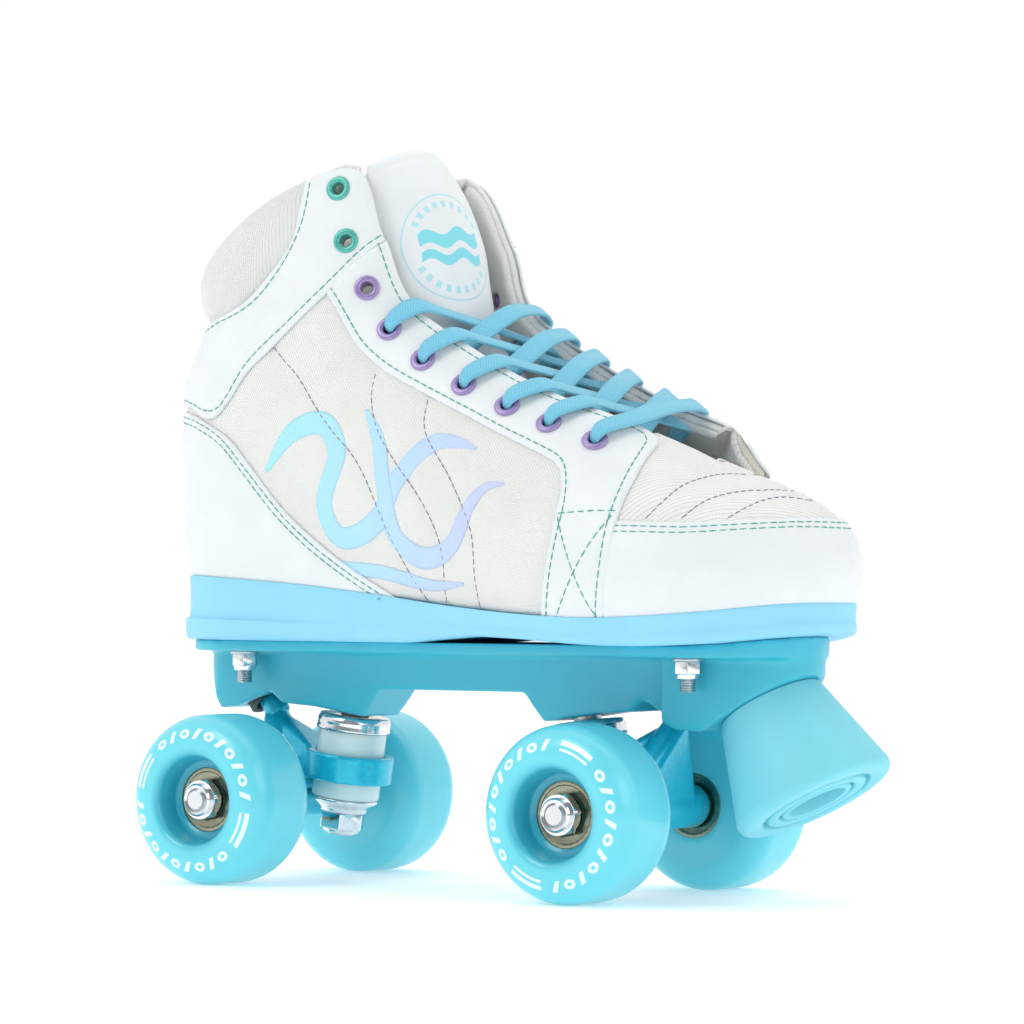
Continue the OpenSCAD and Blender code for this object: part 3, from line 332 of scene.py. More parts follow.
def wheel_material(name, color, recess_shade_color, ink):
    """Poured urethane, with printed rings, slanted bars and two pairs of arcs on the outer face, and painted shade
    that turns the hub recess a deeper cyan.
    The wheel's UV holds the angle in turns and the radius in tenths of a metre."""
    m = Nodes(name, color, 0.24, Coat_Weight=0.25, Coat_Roughness=0.12, Subsurface_Weight=0.12)
    m.bsdf.inputs["Subsurface Radius"].default_value = (0.002, 0.006, 0.008)
    m.bsdf.inputs["Subsurface Scale"].default_value = 1.0
    split = m.add("ShaderNodeSeparateXYZ")
    m.link(m.add("ShaderNodeUVMap", uv_map="UVMap").outputs[0], split.inputs[0])
    turns, radius = split.outputs[0], m.times(split.outputs[1], 100.0)
    soft = 0.12
    half = m.math("FRACT", m.times(m.plus(turns, 0.11), 2.0))
    arcs = m.math("LESS_THAN", half, 0.17)
    lines = m.plus(inside(m, radius, 21.0, 21.9, soft), inside(m, radius, 22.9, 24.4, soft))
    spot = m.times(m.minus(half, 0.215), 10 / 0.74)
    among = m.times(m.math("GREATER_THAN", spot, 0.0), m.math("LESS_THAN", spot, 10.0))
    x = m.minus(m.math("FRACT", spot), 0.5)
    y = m.times(m.minus(radius, 22.7), 0.26)
    away = m.math("SQRT", m.plus(m.times(x, x), m.times(y, y)))
    ring = inside(m, away, 0.16, 0.40, 0.03)
    bar = m.times(inside(m, m.plus(x, m.times(y, 0.35)), -0.17, 0.17, 0.03),
                 inside(m, y, -0.46, 0.46, 0.03))
    odd = m.math("GREATER_THAN", m.math("FRACT", m.times(m.math("FLOOR", spot), 0.5)), 0.25)
    sign = m.plus(m.times(odd, ring), m.times(m.minus(1.0, odd), bar))
    ink_mask = m.plus(m.times(arcs, lines), m.times(among, sign), clamp=True)
    cloud = m.mix(m.ramp(m.noise(16, 4), 0.25, 0.75), tinted(color, 0.95), color)
    # Painted shade: towards the hub the colour turns a deeper cyan, in place of the shade inside the recess.
    recess_shade_mask = m.minus(1.0, m.ramp(radius, 13.5, 18.8))
    cloud = m.mix(m.times(recess_shade_mask, 0.8), cloud, recess_shade_color)
    m.color(m.mix(m.times(ink_mask, 0.9), cloud, ink))
    m.bump(m.noise(2.5, 3), 0.03, 0.35)
    return m.mat


WHITE = (0.80, 0.835, 0.845)
MAT = {
    "leather": leather_material("white_leather", WHITE),
    "mesh": mesh_material("woven_mesh", (0.85, 0.845, 0.82), (0.58, 0.575, 0.56)),
    "pad_mesh": mesh_material("collar_mesh", (0.78, 0.79, 0.77), (0.58, 0.59, 0.57), 1.0, 1.4, math.radians(20)),
    "lining": lining_material("grey_lining", (0.66, 0.68, 0.68)),
    "foam": foam_material("cream_foam", (0.83, 0.80, 0.70)),
    "lace": lace_material("blue_braid", (0.21, 0.64, 0.84)),
    "thread": thread_material("teal_thread", (0.10, 0.42, 0.38)),
    "grey_thread": thread_material("grey_thread", (0.26, 0.23, 0.33)),
    "sole": moulded_material("blue_sole", (0.30, 0.70, 0.92), 0.55, 0.5, 0.04),
    "plate": moulded_material("teal_nylon", (0.055, 0.52, 0.66), 0.36, 0.6, 0.03),
    "toe_stop": moulded_material("blue_rubber", (0.22, 0.69, 0.80), 0.55, 0.5, 0.05),
    "hanger": painted_metal_material("cyan_coating", (0.01, 0.58, 0.78)),
    "cushion": moulded_material("milky_urethane", (0.82, 0.90, 0.87), 0.3, 2.0, 0.02,
                                Subsurface_Weight=0.2, Coat_Weight=0.3),
    "steel": metal_material("zinc_steel", (0.72, 0.74, 0.76), 0.3),
    "chrome": metal_material("chrome", (0.86, 0.88, 0.90), 0.12),
    "bearing": metal_material("gold_steel", (0.33, 0.33, 0.24), 0.2),
    "brass": metal_material("brass", (0.68, 0.52, 0.24), 0.35),
    "black": moulded_material("black_rubber", (0.015, 0.018, 0.02), 0.5, 0.6, 0.05),
    "eyelet_teal": painted_metal_material("teal_eyelet", (0.10, 0.50, 0.42)),
    "eyelet_purple": painted_metal_material("lilac_eyelet", (0.38, 0.28, 0.56)),
    "print": print_material("side_print"),
    "badge": badge_material("badge_leather", WHITE, (0.22, 0.70, 0.78)),
    # The wheel's third colour is painted shade for the inside of the hub recess.
    "wheel": wheel_material("aqua_urethane", (0.16, 0.73, 0.84), (0.0, 0.38, 0.54), (0.90, 0.98, 0.99)),
    "axle_thread": threaded_material("axle_thread", (0.74, 0.76, 0.78), 1.25, "Y"),
    "bolt_thread": threaded_material("bolt_thread", (0.66, 0.68, 0.70), 0.8, "Z"),
}


# --- mesh helpers -------------------------------------------------------------------------------
def mesh_object(name, points, faces, material, uv=None, sharp_deg=None):
    """An object from points in millimetres, with outward faces, smooth shading and optional UVs."""
    mesh = bpy.data.meshes.new(name)
    mesh.from_pydata(to_world(points).tolist(), [], [list(map(int, f)) for f in faces])
    if uv is not None:
        corner = np.zeros(len(mesh.loops), int)
        mesh.loops.foreach_get("vertex_index", corner)
        layer = mesh.uv_layers.new(name="UVMap")
        layer.data.foreach_set("uv", np.asarray(uv, float)[corner].ravel())
    work = bmesh.new()
    work.from_mesh(mesh)
    bmesh.ops.remove_doubles(work, verts=work.verts, dist=1e-6)
    bmesh.ops.recalc_face_normals(work, faces=work.faces)
    work.to_mesh(mesh)
    work.free()
    mesh.shade_smooth()
    if sharp_deg:
        mesh.set_sharp_from_angle(angle=math.radians(sharp_deg))
    mesh.materials.append(material)
    obj = bpy.data.objects.new(name, mesh)
    scene.collection.objects.link(obj)
    return obj


def keep(obj, body, slot, *nodes):
    """obj rides on a body and stands for CAD nodes, which are hidden. slot is not used."""
    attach(obj, body)
    if nodes:
        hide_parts(*nodes)
    return obj


def apply_modifiers(obj):
    """Turns what the modifiers make into the object's own mesh."""
    bpy.context.view_layer.update()
    done = bpy.data.meshes.new_from_object(obj.evaluated_get(bpy.context.evaluated_depsgraph_get()))
    obj.modifiers.clear()
    obj.data = done
    return obj


def grid_faces(rows, cols, start=0, flip=False):
    """Quads of a grid stored row by row."""
    faces = []
    for i in range(rows - 1):
        for j in range(cols - 1):
            a = start + i * cols + j
            quad = [a, a + cols, a + cols + 1, a + 1]
            faces.append(quad[::-1] if flip else quad)
    return faces


def loop_faces(rings, count):
    """Quads between closed rings of count points."""
    return [
        [r * count + k, r * count + (k + 1) % count, (r + 1) * count + (k + 1) % count, (r + 1) * count + k]
        for r in range(rings - 1)
        for k in range(count)
    ]


def closed_shell(outer, inner):
    """Points and faces of a closed sheet from two grids of shape (rows, cols, 3)."""
    rows, cols = outer.shape[:2]
    size = rows * cols
    faces = grid_faces(rows, cols) + grid_faces(rows, cols, size, True)
    rim = [i * cols for i in range(rows)]
    rim += [(rows - 1) * cols + j for j in range(1, cols)]
    rim += [i * cols + cols - 1 for i in range(rows - 2, -1, -1)]
    rim += [j for j in range(cols - 2, 0, -1)]
    for here, there in zip(rim, rim[1:] + rim[:1]):
        faces.append([here, there, there + size, here + size])
    return np.concatenate([outer.reshape(-1, 3), inner.reshape(-1, 3)]), faces


def lathe(profile, steps, place=None):
    """Points and faces of a closed outline (radius, height) turned round Z, then moved by place."""
    turn = np.linspace(0, 2 * math.pi, steps, endpoint=False)
    r, h = np.array(profile, float).T
    points = np.stack([np.outer(r, np.cos(turn)), np.outer(r, np.sin(turn)),
                       np.repeat(h[:, None], steps, 1)], 2).reshape(-1, 3)
    faces = loop_faces(len(r), steps)
    last = (len(r) - 1) * steps
    faces += [[last + k, last + (k + 1) % steps, (k + 1) % steps, k] for k in range(steps)]
    if place is not None:
        points = points @ np.array(place.to_3x3()).T + np.array(place.translation)
    return points, faces


def joined(parts):
    """One list of points and faces from several."""
    points, faces, count = [], [], 0
    for p, f in parts:
        points.append(np.asarray(p, float))
        faces += [[i + count for i in face] for face in f]
        count += len(p)
    return np.concatenate(points), faces


def arc(cx, cy, r, a0, a1, n):
    return [(cx + r * math.cos(math.radians(a0 + (a1 - a0) * i / n)),
             cy + r * math.sin(math.radians(a0 + (a1 - a0) * i / n))) for i in range(n + 1)]


def catmull(p, q, r, s, t):
    return 0.5 * (2 * q + (r - p) * t + (2 * p - 5 * q + 4 * r - s) * t**2 + (3 * q - p - 3 * r + s) * t**3)


def smooth_line(points, per=12):
    """A smooth curve through points of any dimension."""
    pts = np.array(points, float)
    ext = np.concatenate([[2 * pts[0] - pts[1]], pts, [2 * pts[-1] - pts[-2]]])
    t = np.linspace(0, 1, per, endpoint=False)[:, None]
    spans = [catmull(ext[i], ext[i + 1], ext[i + 2], ext[i + 3], t) for i in range(len(pts) - 1)]
    return np.concatenate(spans + [pts[-1:]])


def unit(v):
    return v / np.maximum(np.linalg.norm(v, axis=-1, keepdims=True), 1e-9)


def lengths(points):
    """Distance along a run of points, from 0."""
    return np.concatenate([[0], np.cumsum(np.linalg.norm(np.diff(points, axis=0), axis=1))])


def smooth_step(x, low, high):
    t = np.clip((np.asarray(x, float) - low) / (high - low), 0, 1)
    return t * t * (3 - 2 * t)


# --- boot surface -------------------------------------------------------------------------------
LATERAL_ROWS = np.array([
    [(141.5, 5, 97), (149.5, 5, 110), (143, 5, 129), (127, 4, 132.5)],
    [(133.5, -20, 96.5), (140.5, -24, 109), (135, -20, 130), (115, 3, 137.5)],
    [(113, -38.5, 93.7), (117, -45.5, 110), (111, -38, 136), (101, 2, 142.5)],
    [(84, -46, 91.8), (86, -54, 112), (86, -42, 146), (88, 0, 148.5)],
    [(56, -45.5, 92.4), (57, -53, 116), (66, -40, 152), (76, -14, 155.5)],
    [(22, -40.5, 95), (21, -48.5, 122), (33, -42, 161), (47, -18, 165.5)],
    [(-12, -36, 98.7), (-13, -44, 128), (3, -43, 174), (16, -19, 181)],
    [(-42, -34, 101.6), (-43, -41, 134), (-26, -43, 187), (-10, -20, 199)],
    [(-66, -33.5, 103.4), (-68, -39, 140), (-43, -43, 205), (-20, -22, 222)],
    [(-84, -31, 104.4), (-87, -36, 148), (-58, -40, 215), (-31, -24, 246)],
    [(-96, -26, 105), (-100, -31, 150), (-85, -38, 205), (-62, -31, 236.5)],
    [(-104.5, -18, 105), (-110, -22, 148), (-103.5, -28, 192), (-89, -26, 220.5)],
    [(-110, 0, 105), (-117.5, 0, 145), (-112.5, 0, 188), (-108, 0, 214)],
], float)
MEDIAL_LEAN = [0, 1, 2, 3, 14, 14, 14, 14, 14, 10, 5, 0, 0]
MEDIAL_FOOT = [0, 5, 3, 0, -3, -6, -3, -1, 0, 0, 0, 0, 0]
MEDIAL_TOP = [0, 3, 2, 0, 8, 9, 10, 11, 12, 8, 2, 0, 0]
RIDGE_ROWS = 3
ROWS = 24
ANKLE_PINCH = 8.5


def medial_row(i):
    row = LATERAL_ROWS[i] * (1, -1, 1)
    top = 2 * LATERAL_ROWS[i][3][1] if i <= RIDGE_ROWS else MEDIAL_TOP[i]
    row[0:2, 1] += MEDIAL_FOOT[i]
    row[2] += (0.7 * MEDIAL_LEAN[i], 0.7 * MEDIAL_TOP[i], 0)
    row[3] += (MEDIAL_LEAN[i], top, 0)
    return row


NET = np.array(list(LATERAL_ROWS) + [medial_row(i) for i in range(11, 0, -1)])


def boot(a, v):
    """Points of the boot's outside at rows a and heights v."""
    a, v = np.broadcast_arrays(np.asarray(a, float) % ROWS, np.asarray(v, float))
    i = np.floor(a).astype(int)
    t = (a - i)[..., None]
    p = [catmull(NET[(i - 1) % ROWS, j], NET[i % ROWS, j], NET[(i + 1) % ROWS, j], NET[(i + 2) % ROWS, j], t)
         for j in range(4)]
    w = v[..., None]
    out = p[0] * (1 - w)**3 + p[1] * 3 * w * (1 - w)**2 + p[2] * 3 * w**2 * (1 - w) + p[3] * w**3
    out[..., 0] += ANKLE_PINCH * np.exp(-((v - 0.7) / 0.12)**2) * np.exp(-((a - 12) / 2.2)**2)
    return out


def side_normal(a, v):
    h = 0.02
    along = boot(a + h, v) - boot(a - h, v)
    up = boot(a, np.minimum(v + h, 1)) - boot(a, np.maximum(v - h, 0))
    return unit(np.cross(up, along))


def boot_normal(a, v):
    a, v = np.broadcast_arrays(np.asarray(a, float), np.asarray(v, float))
    n = side_normal(a, v)
    ridge = (v > 0.97) & (np.minimum(a % ROWS, -a % ROWS) <= RIDGE_ROWS)
    both = unit(n + side_normal(-a, v))
    share = smooth_step(v, 0.97, 1.0)[..., None]
    return np.where(ridge[..., None], unit(n * (1 - share) + both * share), n)


def skin(a, v, offset):
    """Points at a distance from the boot's outside, carried on past the rim where v is over 1."""
    v = np.asarray(v, float)
    inside_v = np.clip(v, 0, 1)
    base = boot(a, inside_v)
    rise = unit(boot(a, np.ones_like(inside_v)) - boot(a, np.full_like(inside_v, 0.96)))
    return base + boot_normal(a, inside_v) * np.asarray(offset)[..., None] + rise * ((v - inside_v) * 100)[..., None]


def length_table():
    """Distances over the boot's outside, for UVs that keep a weave's size."""
    a = np.linspace(0, ROWS, 241)
    v = np.linspace(0, 1, 41)
    at = boot(*np.meshgrid(a, v, indexing="ij"))
    round_it = np.concatenate([np.zeros((1, 41)), np.cumsum(np.linalg.norm(np.diff(at, axis=0), axis=2), 0)])
    round_it = round_it - round_it[120:121]
    upward = np.concatenate([np.zeros((241, 1)), np.cumsum(np.linalg.norm(np.diff(at, axis=1), axis=2), 1)], 1)
    return round_it, upward


ROUND_IT, UPWARD = length_table()


def boot_uv(a, v):
    """UV in metres over the boot's outside."""
    x = np.clip((np.asarray(a, float) % ROWS) * 10, 0, 239.999)
    y = np.clip(np.asarray(v, float) * 40, 0, 39.999)
    i, j = np.floor(x).astype(int), np.floor(y).astype(int)
    s, t = x - i, y - j
    out = []
    for table in (ROUND_IT, UPWARD):
        low = table[i, j] * (1 - s) + table[i + 1, j] * s
        high = table[i, j + 1] * (1 - s) + table[i + 1, j + 1] * s
        out.append((low * (1 - t) + high * t) * MM)
    return np.stack(out, -1)


def rail(points, fractions):
    """(a, v) at fractions of the length of a smooth line drawn on the boot."""
    dense = smooth_line(points, 10)
    d = lengths(boot(dense[:, 0], dense[:, 1]))
    d /= d[-1]
    return np.stack([np.interp(fractions, d, dense[:, k]) for k in (0, 1)], -1)


def rail_length(points):
    dense = smooth_line(points, 10)
    return lengths(boot(dense[:, 0], dense[:, 1]))[-1]


RIM_STEPS = (0.0, 0.12, 0.4, 0.9)


def rimmed(length, step):
    """Distances from 0 to length, close together at both ends for a rounded rim."""
    ends = np.array(RIM_STEPS) * min(1, length / 4)
    inner = np.linspace(ends[-1], length - ends[-1], max(2, int(round(length / step))) + 1)
    return np.concatenate([ends[:-1], inner, (length - ends[:-1])[::-1]])


def rim_height(distance, rim=RIM_STEPS[-1]):
    return np.sqrt(np.clip(1 - (1 - np.clip(distance / rim, 0, 1))**2, 0, 1))


def dents(points, lines, depth, width):
    """How far stitching pulls the surface in at each point."""
    pull = np.zeros(points.shape[:-1])
    for line in lines:
        at = boot(*rail(line, np.linspace(0, 1, max(8, int(rail_length(line) / 2.5)))).T)
        for k in range(0, len(at), 40):
            d = np.linalg.norm(points[..., None, :] - at[k:k + 40], axis=-1).min(-1)
            pull = np.maximum(pull, depth * np.exp(-(d / width)**2))
    return pull


def mirrored(line):
    return [(ROWS - a, v) for a, v in line]


def flap_shift(a, v):
    """How far the front of the inner facing stands off the boot."""
    raised = NET.copy()
    for i, point in FLAP_TOP.items():
        raised[i, 3] = point
    i = np.floor(a).astype(int)
    t = (a - i)[..., None]
    rows = [raised[(i + k) % ROWS, 3] - NET[(i + k) % ROWS, 3] for k in (-1, 0, 1, 2)]
    return catmull(*rows, t) * (v**3 * smooth_step(v, 0.5, 0.95))[..., None]


def round_heel(line):
    return line + mirrored(line)[::-1][1:]


def round_toe(line):
    return [(-a, v) for a, v in line] + line[::-1][1:]


def panel(name, low, high, inner, outer, material, step=1.6, seams=(), dent=0.3, dent_w=1.3, rim=0.9,
          shift=None):
    """A closed sheet on the boot between two lines, with a rounded rim and pulled-in seams.
    shift moves points off the boot."""
    along = rimmed((rail_length(low) + rail_length(high)) / 2, step)
    u = along / along[-1]
    a_low, a_high = rail(low, u), rail(high, u)
    width = np.linalg.norm(boot(*a_high.T) - boot(*a_low.T), axis=1)
    count = max(4, int(round(width.max() / step)))
    w = np.array([rimmed(x, x / count) / x if x > 0.5 else rimmed(1.0, 1.0 / count) for x in np.maximum(width, 0.2)])
    spot = a_low[:, None] + (a_high - a_low)[:, None] * w[..., None]
    a, v = spot[..., 0], spot[..., 1]
    reach_w = np.minimum(w, 1 - w) * width[:, None]
    reach_u = np.minimum(along, along[-1] - along)[:, None]
    height = rim_height(reach_w, rim) * rim_height(reach_u, rim)
    offset = inner + (outer - inner) * height
    if seams:
        offset = offset - dents(boot(a, v), seams, dent, dent_w) * height
    move = shift(a, v) if shift else 0
    sheets = [skin(a, v, offset) + move, skin(a, v, np.full_like(offset, inner)) + move]
    points, faces = closed_shell(*(sheets if outer > inner else sheets[::-1]))
    uv = boot_uv(a, v).reshape(-1, 2)
    return mesh_object(name, points, faces, material, np.concatenate([uv, uv]))


def surface_frame(a, v):
    """A matrix at a place on the boot: Z outward, Y up the boot."""
    z = boot_normal(a, v)
    y = unit(boot(a, min(v + 0.02, 1)) - boot(a, v - 0.02))
    y = unit(y - z * float(np.dot(y, z)))
    m = Matrix(np.stack([np.cross(y, z), y, z], 1).tolist()).to_4x4()
    m.translation = boot(a, v).tolist()
    return m


def punch(obj, spots, radius):
    """Round holes through a panel at places on the boot."""
    tools = [lathe([(0.01, -9), (radius, -9), (radius, 6), (0.01, 6)], 24, surface_frame(a, v)) for a, v in spots]
    cutter = mesh_object("cutter", *joined(tools), MAT["leather"])
    hole = obj.modifiers.new("holes", "BOOLEAN")
    hole.operation = "DIFFERENCE"
    hole.solver = "EXACT"
    hole.object = cutter
    apply_modifiers(obj)
    bpy.data.objects.remove(cutter)
    return obj


# --- seams, as (a, v) places --------------------------------------------------------------------
SIDE_LOW = [(3.72, 0), (6, 0), (8, 0), (9.5, 0), (10.6, 0), (11.98, 0)]
SIDE_HIGH = [(3.72, 0.985), (6.2, 0.985), (8.6, 0.985), (9.4, 0.98), (9.6, 0.66), (10.4, 0.67), (11.98, 0.73)]
CAP_LOW = [(3, 0), (2.3, 0), (1.5, 0), (0.7, 0), (0, 0)]
CAP_HIGH = [(2.95, 0.45), (2.44, 0.48), (1.97, 0.515), (1.5, 0.565), (0.71, 0.635), (0, 0.66)]
COUNTER_LOW = [(5.75, 0), (6.6, 0), (7.4, 0), (8.3, 0), (9.4, 0), (10.7, 0), (12, 0)]
COUNTER_HIGH = [(5.85, 0.02), (6.38, 0.09), (6.83, 0.15), (7.35, 0.21), (8.04, 0.28), (8.65, 0.315), (9.48, 0.355),
                (11.09, 0.465), (12, 0.505)]
STRAP_LOW = [(7.93, 0.985), (7.95, 0.82), (8.06, 0.72), (8.45, 0.57), (8.89, 0.48), (9.53, 0.375), (10.7, 0.455),
             (12, 0.515)]
STRAP_HIGH = [(9.58, 0.985), (9.38, 0.88), (9.22, 0.79), (9.23, 0.735), (9.52, 0.655), (10.1, 0.65), (10.9, 0.70),
              (12, 0.755)]
STAY_LOW = [(3.86, 0), (3.82, 0.25), (3.9, 0.46), (4.05, 0.575), (4.34, 0.645), (5.25, 0.70), (6.36, 0.715),
            (7.36, 0.745), (8.02, 0.75)]
STAY_HIGH = [(2.98, 0), (2.93, 0.28), (2.95, 0.5), (3.02, 0.72), (3.4, 0.93), (4.4, 0.99), (5.6, 0.99),
             (6.9, 0.99), (7.93, 0.99)]
INNER_STAY_HIGH = [(2.98, 0), (2.93, 0.28), (2.85, 0.5), (2.62, 0.7), (2.42, 0.82), (2.4, 0.88), (2.56, 0.94),
                   (2.95, 0.975), (3.5, 0.985), (4.4, 0.99), (5.6, 0.99), (6.9, 0.99), (7.93, 0.99)]
# The rim of the inner facing stands clear of the vamp: top points for net rows 20, 21 and 22.
FLAP_TOP = {20: (90, 22, 155.5), 21: (97.5, 20, 149.5), 22: (106, 17.5, 137)}
WAVES = [
    [(8.54, 0.55), (7.72, 0.54), (6.94, 0.48), (6.38, 0.40), (5.82, 0.21), (5.49, 0.07), (5.36, 0.01)],
    [(6.67, 0.70), (6.54, 0.61), (6.23, 0.51), (5.51, 0.36), (5.16, 0.21), (5.11, 0.01)],
    [(5.93, 0.70), (5.76, 0.59), (5.23, 0.46), (4.83, 0.30), (4.72, 0.12), (4.68, 0.01)],
]
TOE_ARCS = [
    [(2.62, 0.49), (2.47, 0.61), (2.34, 0.72), (2.14, 0.82), (1.89, 0.91), (1.5, 0.99)],
    [(2.2, 0.53), (2.01, 0.64), (1.81, 0.72), (1.5, 0.80), (1.15, 0.86), (0.8, 0.92), (0.5, 0.985)],
    [(1.66, 0.58), (1.43, 0.68), (1.2, 0.76), (0.85, 0.83), (0.4, 0.88), (0, 0.90)],
]
EYELETS = {
    "lateral": [(4.01, 0.78), (4.61, 0.80), (5.13, 0.81), (5.68, 0.81), (6.26, 0.82), (6.85, 0.85), (7.52, 0.87),
                (8.28, 0.87), (8.95, 0.92)],
    "medial": [(19.4, 0.80), (19.03, 0.81), (18.53, 0.81), (18.08, 0.82), (17.64, 0.83), (17.17, 0.85),
               (16.48, 0.87), (15.72, 0.87), (15.05, 0.92)],
}
PURPLE = 7
EYELET_HOLE = 2.95


def inset(line, distance, side):
    """A line drawn on the boot, moved sideways over its surface by a distance in millimetres."""
    spots = rail(line, np.linspace(0, 1, 40))
    a, v = spots[:, 0], spots[:, 1]
    at = boot(a, v)
    across = unit(np.cross(boot_normal(a, v), np.gradient(at, axis=0))) * side * distance
    h = 0.01
    da, dv = (boot(a + h, v) - boot(a - h, v)) / (2 * h), (boot(a, v + h) - boot(a, v - h)) / (2 * h)
    g = [np.stack([np.sum(p * q, 1) for q in (da, dv)], 1) for p in (da, dv)]
    rhs = np.stack([np.sum(across * p, 1) for p in (da, dv)], 1)
    move = np.linalg.solve(np.stack(g, 1), rhs[..., None])[..., 0]
    moved = spots + move
    return [tuple(p) for p in moved[::3]] + [tuple(moved[-1])]


# Share of the length, share of the radius and height over the leather, along one stitch.
STITCH_SHAPE = ((0.0, 0.25, -0.5), (0.12, 0.8, -0.1), (0.5, 1.0, 0.15), (0.88, 0.8, -0.1), (1.0, 0.25, -0.5))


def stitch_run(line, offset, length=2.9, gap=0.25, radius=0.26, shift=None):
    """Short rounded threads along a line drawn on the boot."""
    total = rail_length(line)
    count = max(1, int(total / (length + gap)))
    start = (np.arange(count) + 0.5) / count
    half = length / 2 / total
    parts = []
    ends = rail(line, np.stack([start - half, start, start + half], 1).ravel()).reshape(count, 3, 2)
    at = skin(ends[..., 0], ends[..., 1], np.full(ends.shape[:2], float(offset)))
    if shift:
        at = at + shift(ends[..., 0], ends[..., 1])
    normal = boot_normal(ends[:, 1, 0], ends[:, 1, 1])
    for (p, _, q), n in zip(at, normal):
        t = unit(q - p)
        side = np.cross(n, t)
        rings = []
        for f, r, h in STITCH_SHAPE:
            c = p + (q - p) * f + n * h * radius
            for k in range(6):
                w = k * math.pi / 3
                rings.append(c + (side * math.cos(w) + n * math.sin(w)) * radius * r)
        faces = loop_faces(5, 6) + [list(range(6)), list(range(29, 23, -1))]
        parts.append((np.array(rings), faces))
    return parts


# --- boot pieces --------------------------------------------------------------------------------
def make_sides():
    for side in ("lateral", "medial"):
        turn = mirrored if side == "medial" else list
        obj = panel(f"quarter_{side}", turn(SIDE_LOW), turn(SIDE_HIGH), -3.0, 0.0, MAT["mesh"], 1.7,
                    [turn(w) for w in WAVES], 0.55, 2.0, shift=flap_shift)
        punch(obj, EYELETS[side], EYELET_HOLE)
        keep(obj, ROOT, "canvas", f"quarter_{side}")
        low = [(3.8, 0.5), (4.6, 0.52), (5.7, 0.55), (6.9, 0.58), (8.0, 0.6), (9.0, 0.62)]
        top = [(a, 0.984) for a in (3.75, 4.6, 5.7, 6.9, 8.0, 9.0)]
        if side == "medial":
            low = [(2.55, 0.7), (3.1, 0.6), *low]
            top = [(2.45, 0.9), (2.64, 0.95), (3.1, 0.973), *top]
        lining = panel(f"throat_lining_{side}", turn(low), turn(top), -3.02, -5.5, MAT["mesh"], 2.0, rim=1.6,
                       shift=flap_shift)
        punch(lining, EYELETS[side], EYELET_HOLE)
        keep(lining, ROOT, "lining")
    edge = panel("throat_edge", mirrored([(2.52, 0.86), (2.7, 0.92), (3.15, 0.945), (3.76, 0.955)]),
                 mirrored([(2.44, 0.9), (2.64, 0.948), (3.1, 0.972), (3.74, 0.98)]), -3.0, 0.05, MAT["foam"], 1.5,
                 shift=flap_shift)
    keep(edge, ROOT, "lining")


VAMP_END = 3.68
VAMP_CLOSED = 2.3


def make_vamp():
    """The toe mesh, closed along its ridge; the throat reaches further forward on the inner side."""
    a = np.linspace(-VAMP_END, VAMP_END, 161)
    top = 1 - 0.3 * smooth_step(-a, VAMP_CLOSED, 3.3)
    share = np.linspace(0, 1, 64)
    A = np.repeat(a[:, None], len(share), 1)
    V = top[:, None] * share
    seams = TOE_ARCS + [[(-x, y) for x, y in line] for line in TOE_ARCS]
    pull = dents(boot(A, V), seams, 0.6, 2.0)
    outer, inner = skin(A, V, -pull), skin(A, V, np.full_like(A, -3.0))
    closed = np.abs(a) <= VAMP_CLOSED
    for sheet in (outer, inner):
        middle = (sheet[:, -1] + sheet[::-1, -1]) / 2
        sheet[closed, -1] = middle[closed]
    count, cols = A.shape
    size = count * cols
    faces = grid_faces(count, cols) + grid_faces(count, cols, size, True)
    edges = [(i * cols, (i + 1) * cols) for i in range(count - 1)]
    edges += [(j, j + 1) for j in range(cols - 1)]
    edges += [((count - 1) * cols + j, (count - 1) * cols + j + 1) for j in range(cols - 1)]
    edges += [(i * cols + cols - 1, (i + 1) * cols + cols - 1) for i in range(count - 1)
              if not (closed[i] and closed[i + 1])]
    faces += [[p, q, q + size, p + size] for p, q in edges]
    points = np.concatenate([outer.reshape(-1, 3), inner.reshape(-1, 3)])
    uv = np.stack([points[:, 1], points[:, 0] - 0.4 * np.abs(points[:, 1])], 1) * MM
    keep(mesh_object("vamp", points, faces, MAT["mesh"], uv), ROOT, "canvas", "vamp")


PANEL_IN = 0.12
PANEL_OUT = 1.4


def make_panels():
    seams = leather_seams()
    cap = panel("toe_cap", round_toe(CAP_LOW), round_toe(CAP_HIGH), PANEL_IN, PANEL_OUT, MAT["leather"], 2.0,
                seams["toe_cap"])
    keep(cap, ROOT, "leather", "toe_cap")
    counter = panel("heel_counter", round_heel(COUNTER_LOW), round_heel(COUNTER_HIGH), PANEL_IN, PANEL_OUT,
                    MAT["leather"], 2.0, seams["heel_counter"])
    keep(counter, ROOT, "leather", "heel_counter")
    strap = panel("ankle_strap", round_heel(STRAP_LOW), round_heel(STRAP_HIGH), PANEL_IN, PANEL_OUT + 0.35,
                  MAT["leather"], 1.7, seams["ankle_strap"])
    punch(strap, EYELETS["lateral"][PURPLE:] + EYELETS["medial"][PURPLE:], EYELET_HOLE)
    keep(strap, ROOT, "leather", "ankle_strap")
    stay = panel("eyestay_lateral", STAY_LOW, STAY_HIGH, PANEL_IN, PANEL_OUT, MAT["leather"], 1.5,
                 seams["eyestay_lateral"])
    punch(stay, EYELETS["lateral"][:PURPLE], EYELET_HOLE)
    keep(stay, ROOT, "leather", "eyestay_lateral")
    stay = panel("eyestay_medial", mirrored(STAY_LOW), mirrored(INNER_STAY_HIGH), PANEL_IN, PANEL_OUT,
                 MAT["leather"], 1.5, seams["eyestay_medial"], shift=flap_shift)
    punch(stay, EYELETS["medial"][:PURPLE], EYELET_HOLE)
    keep(stay, ROOT, "leather", "eyestay_medial")


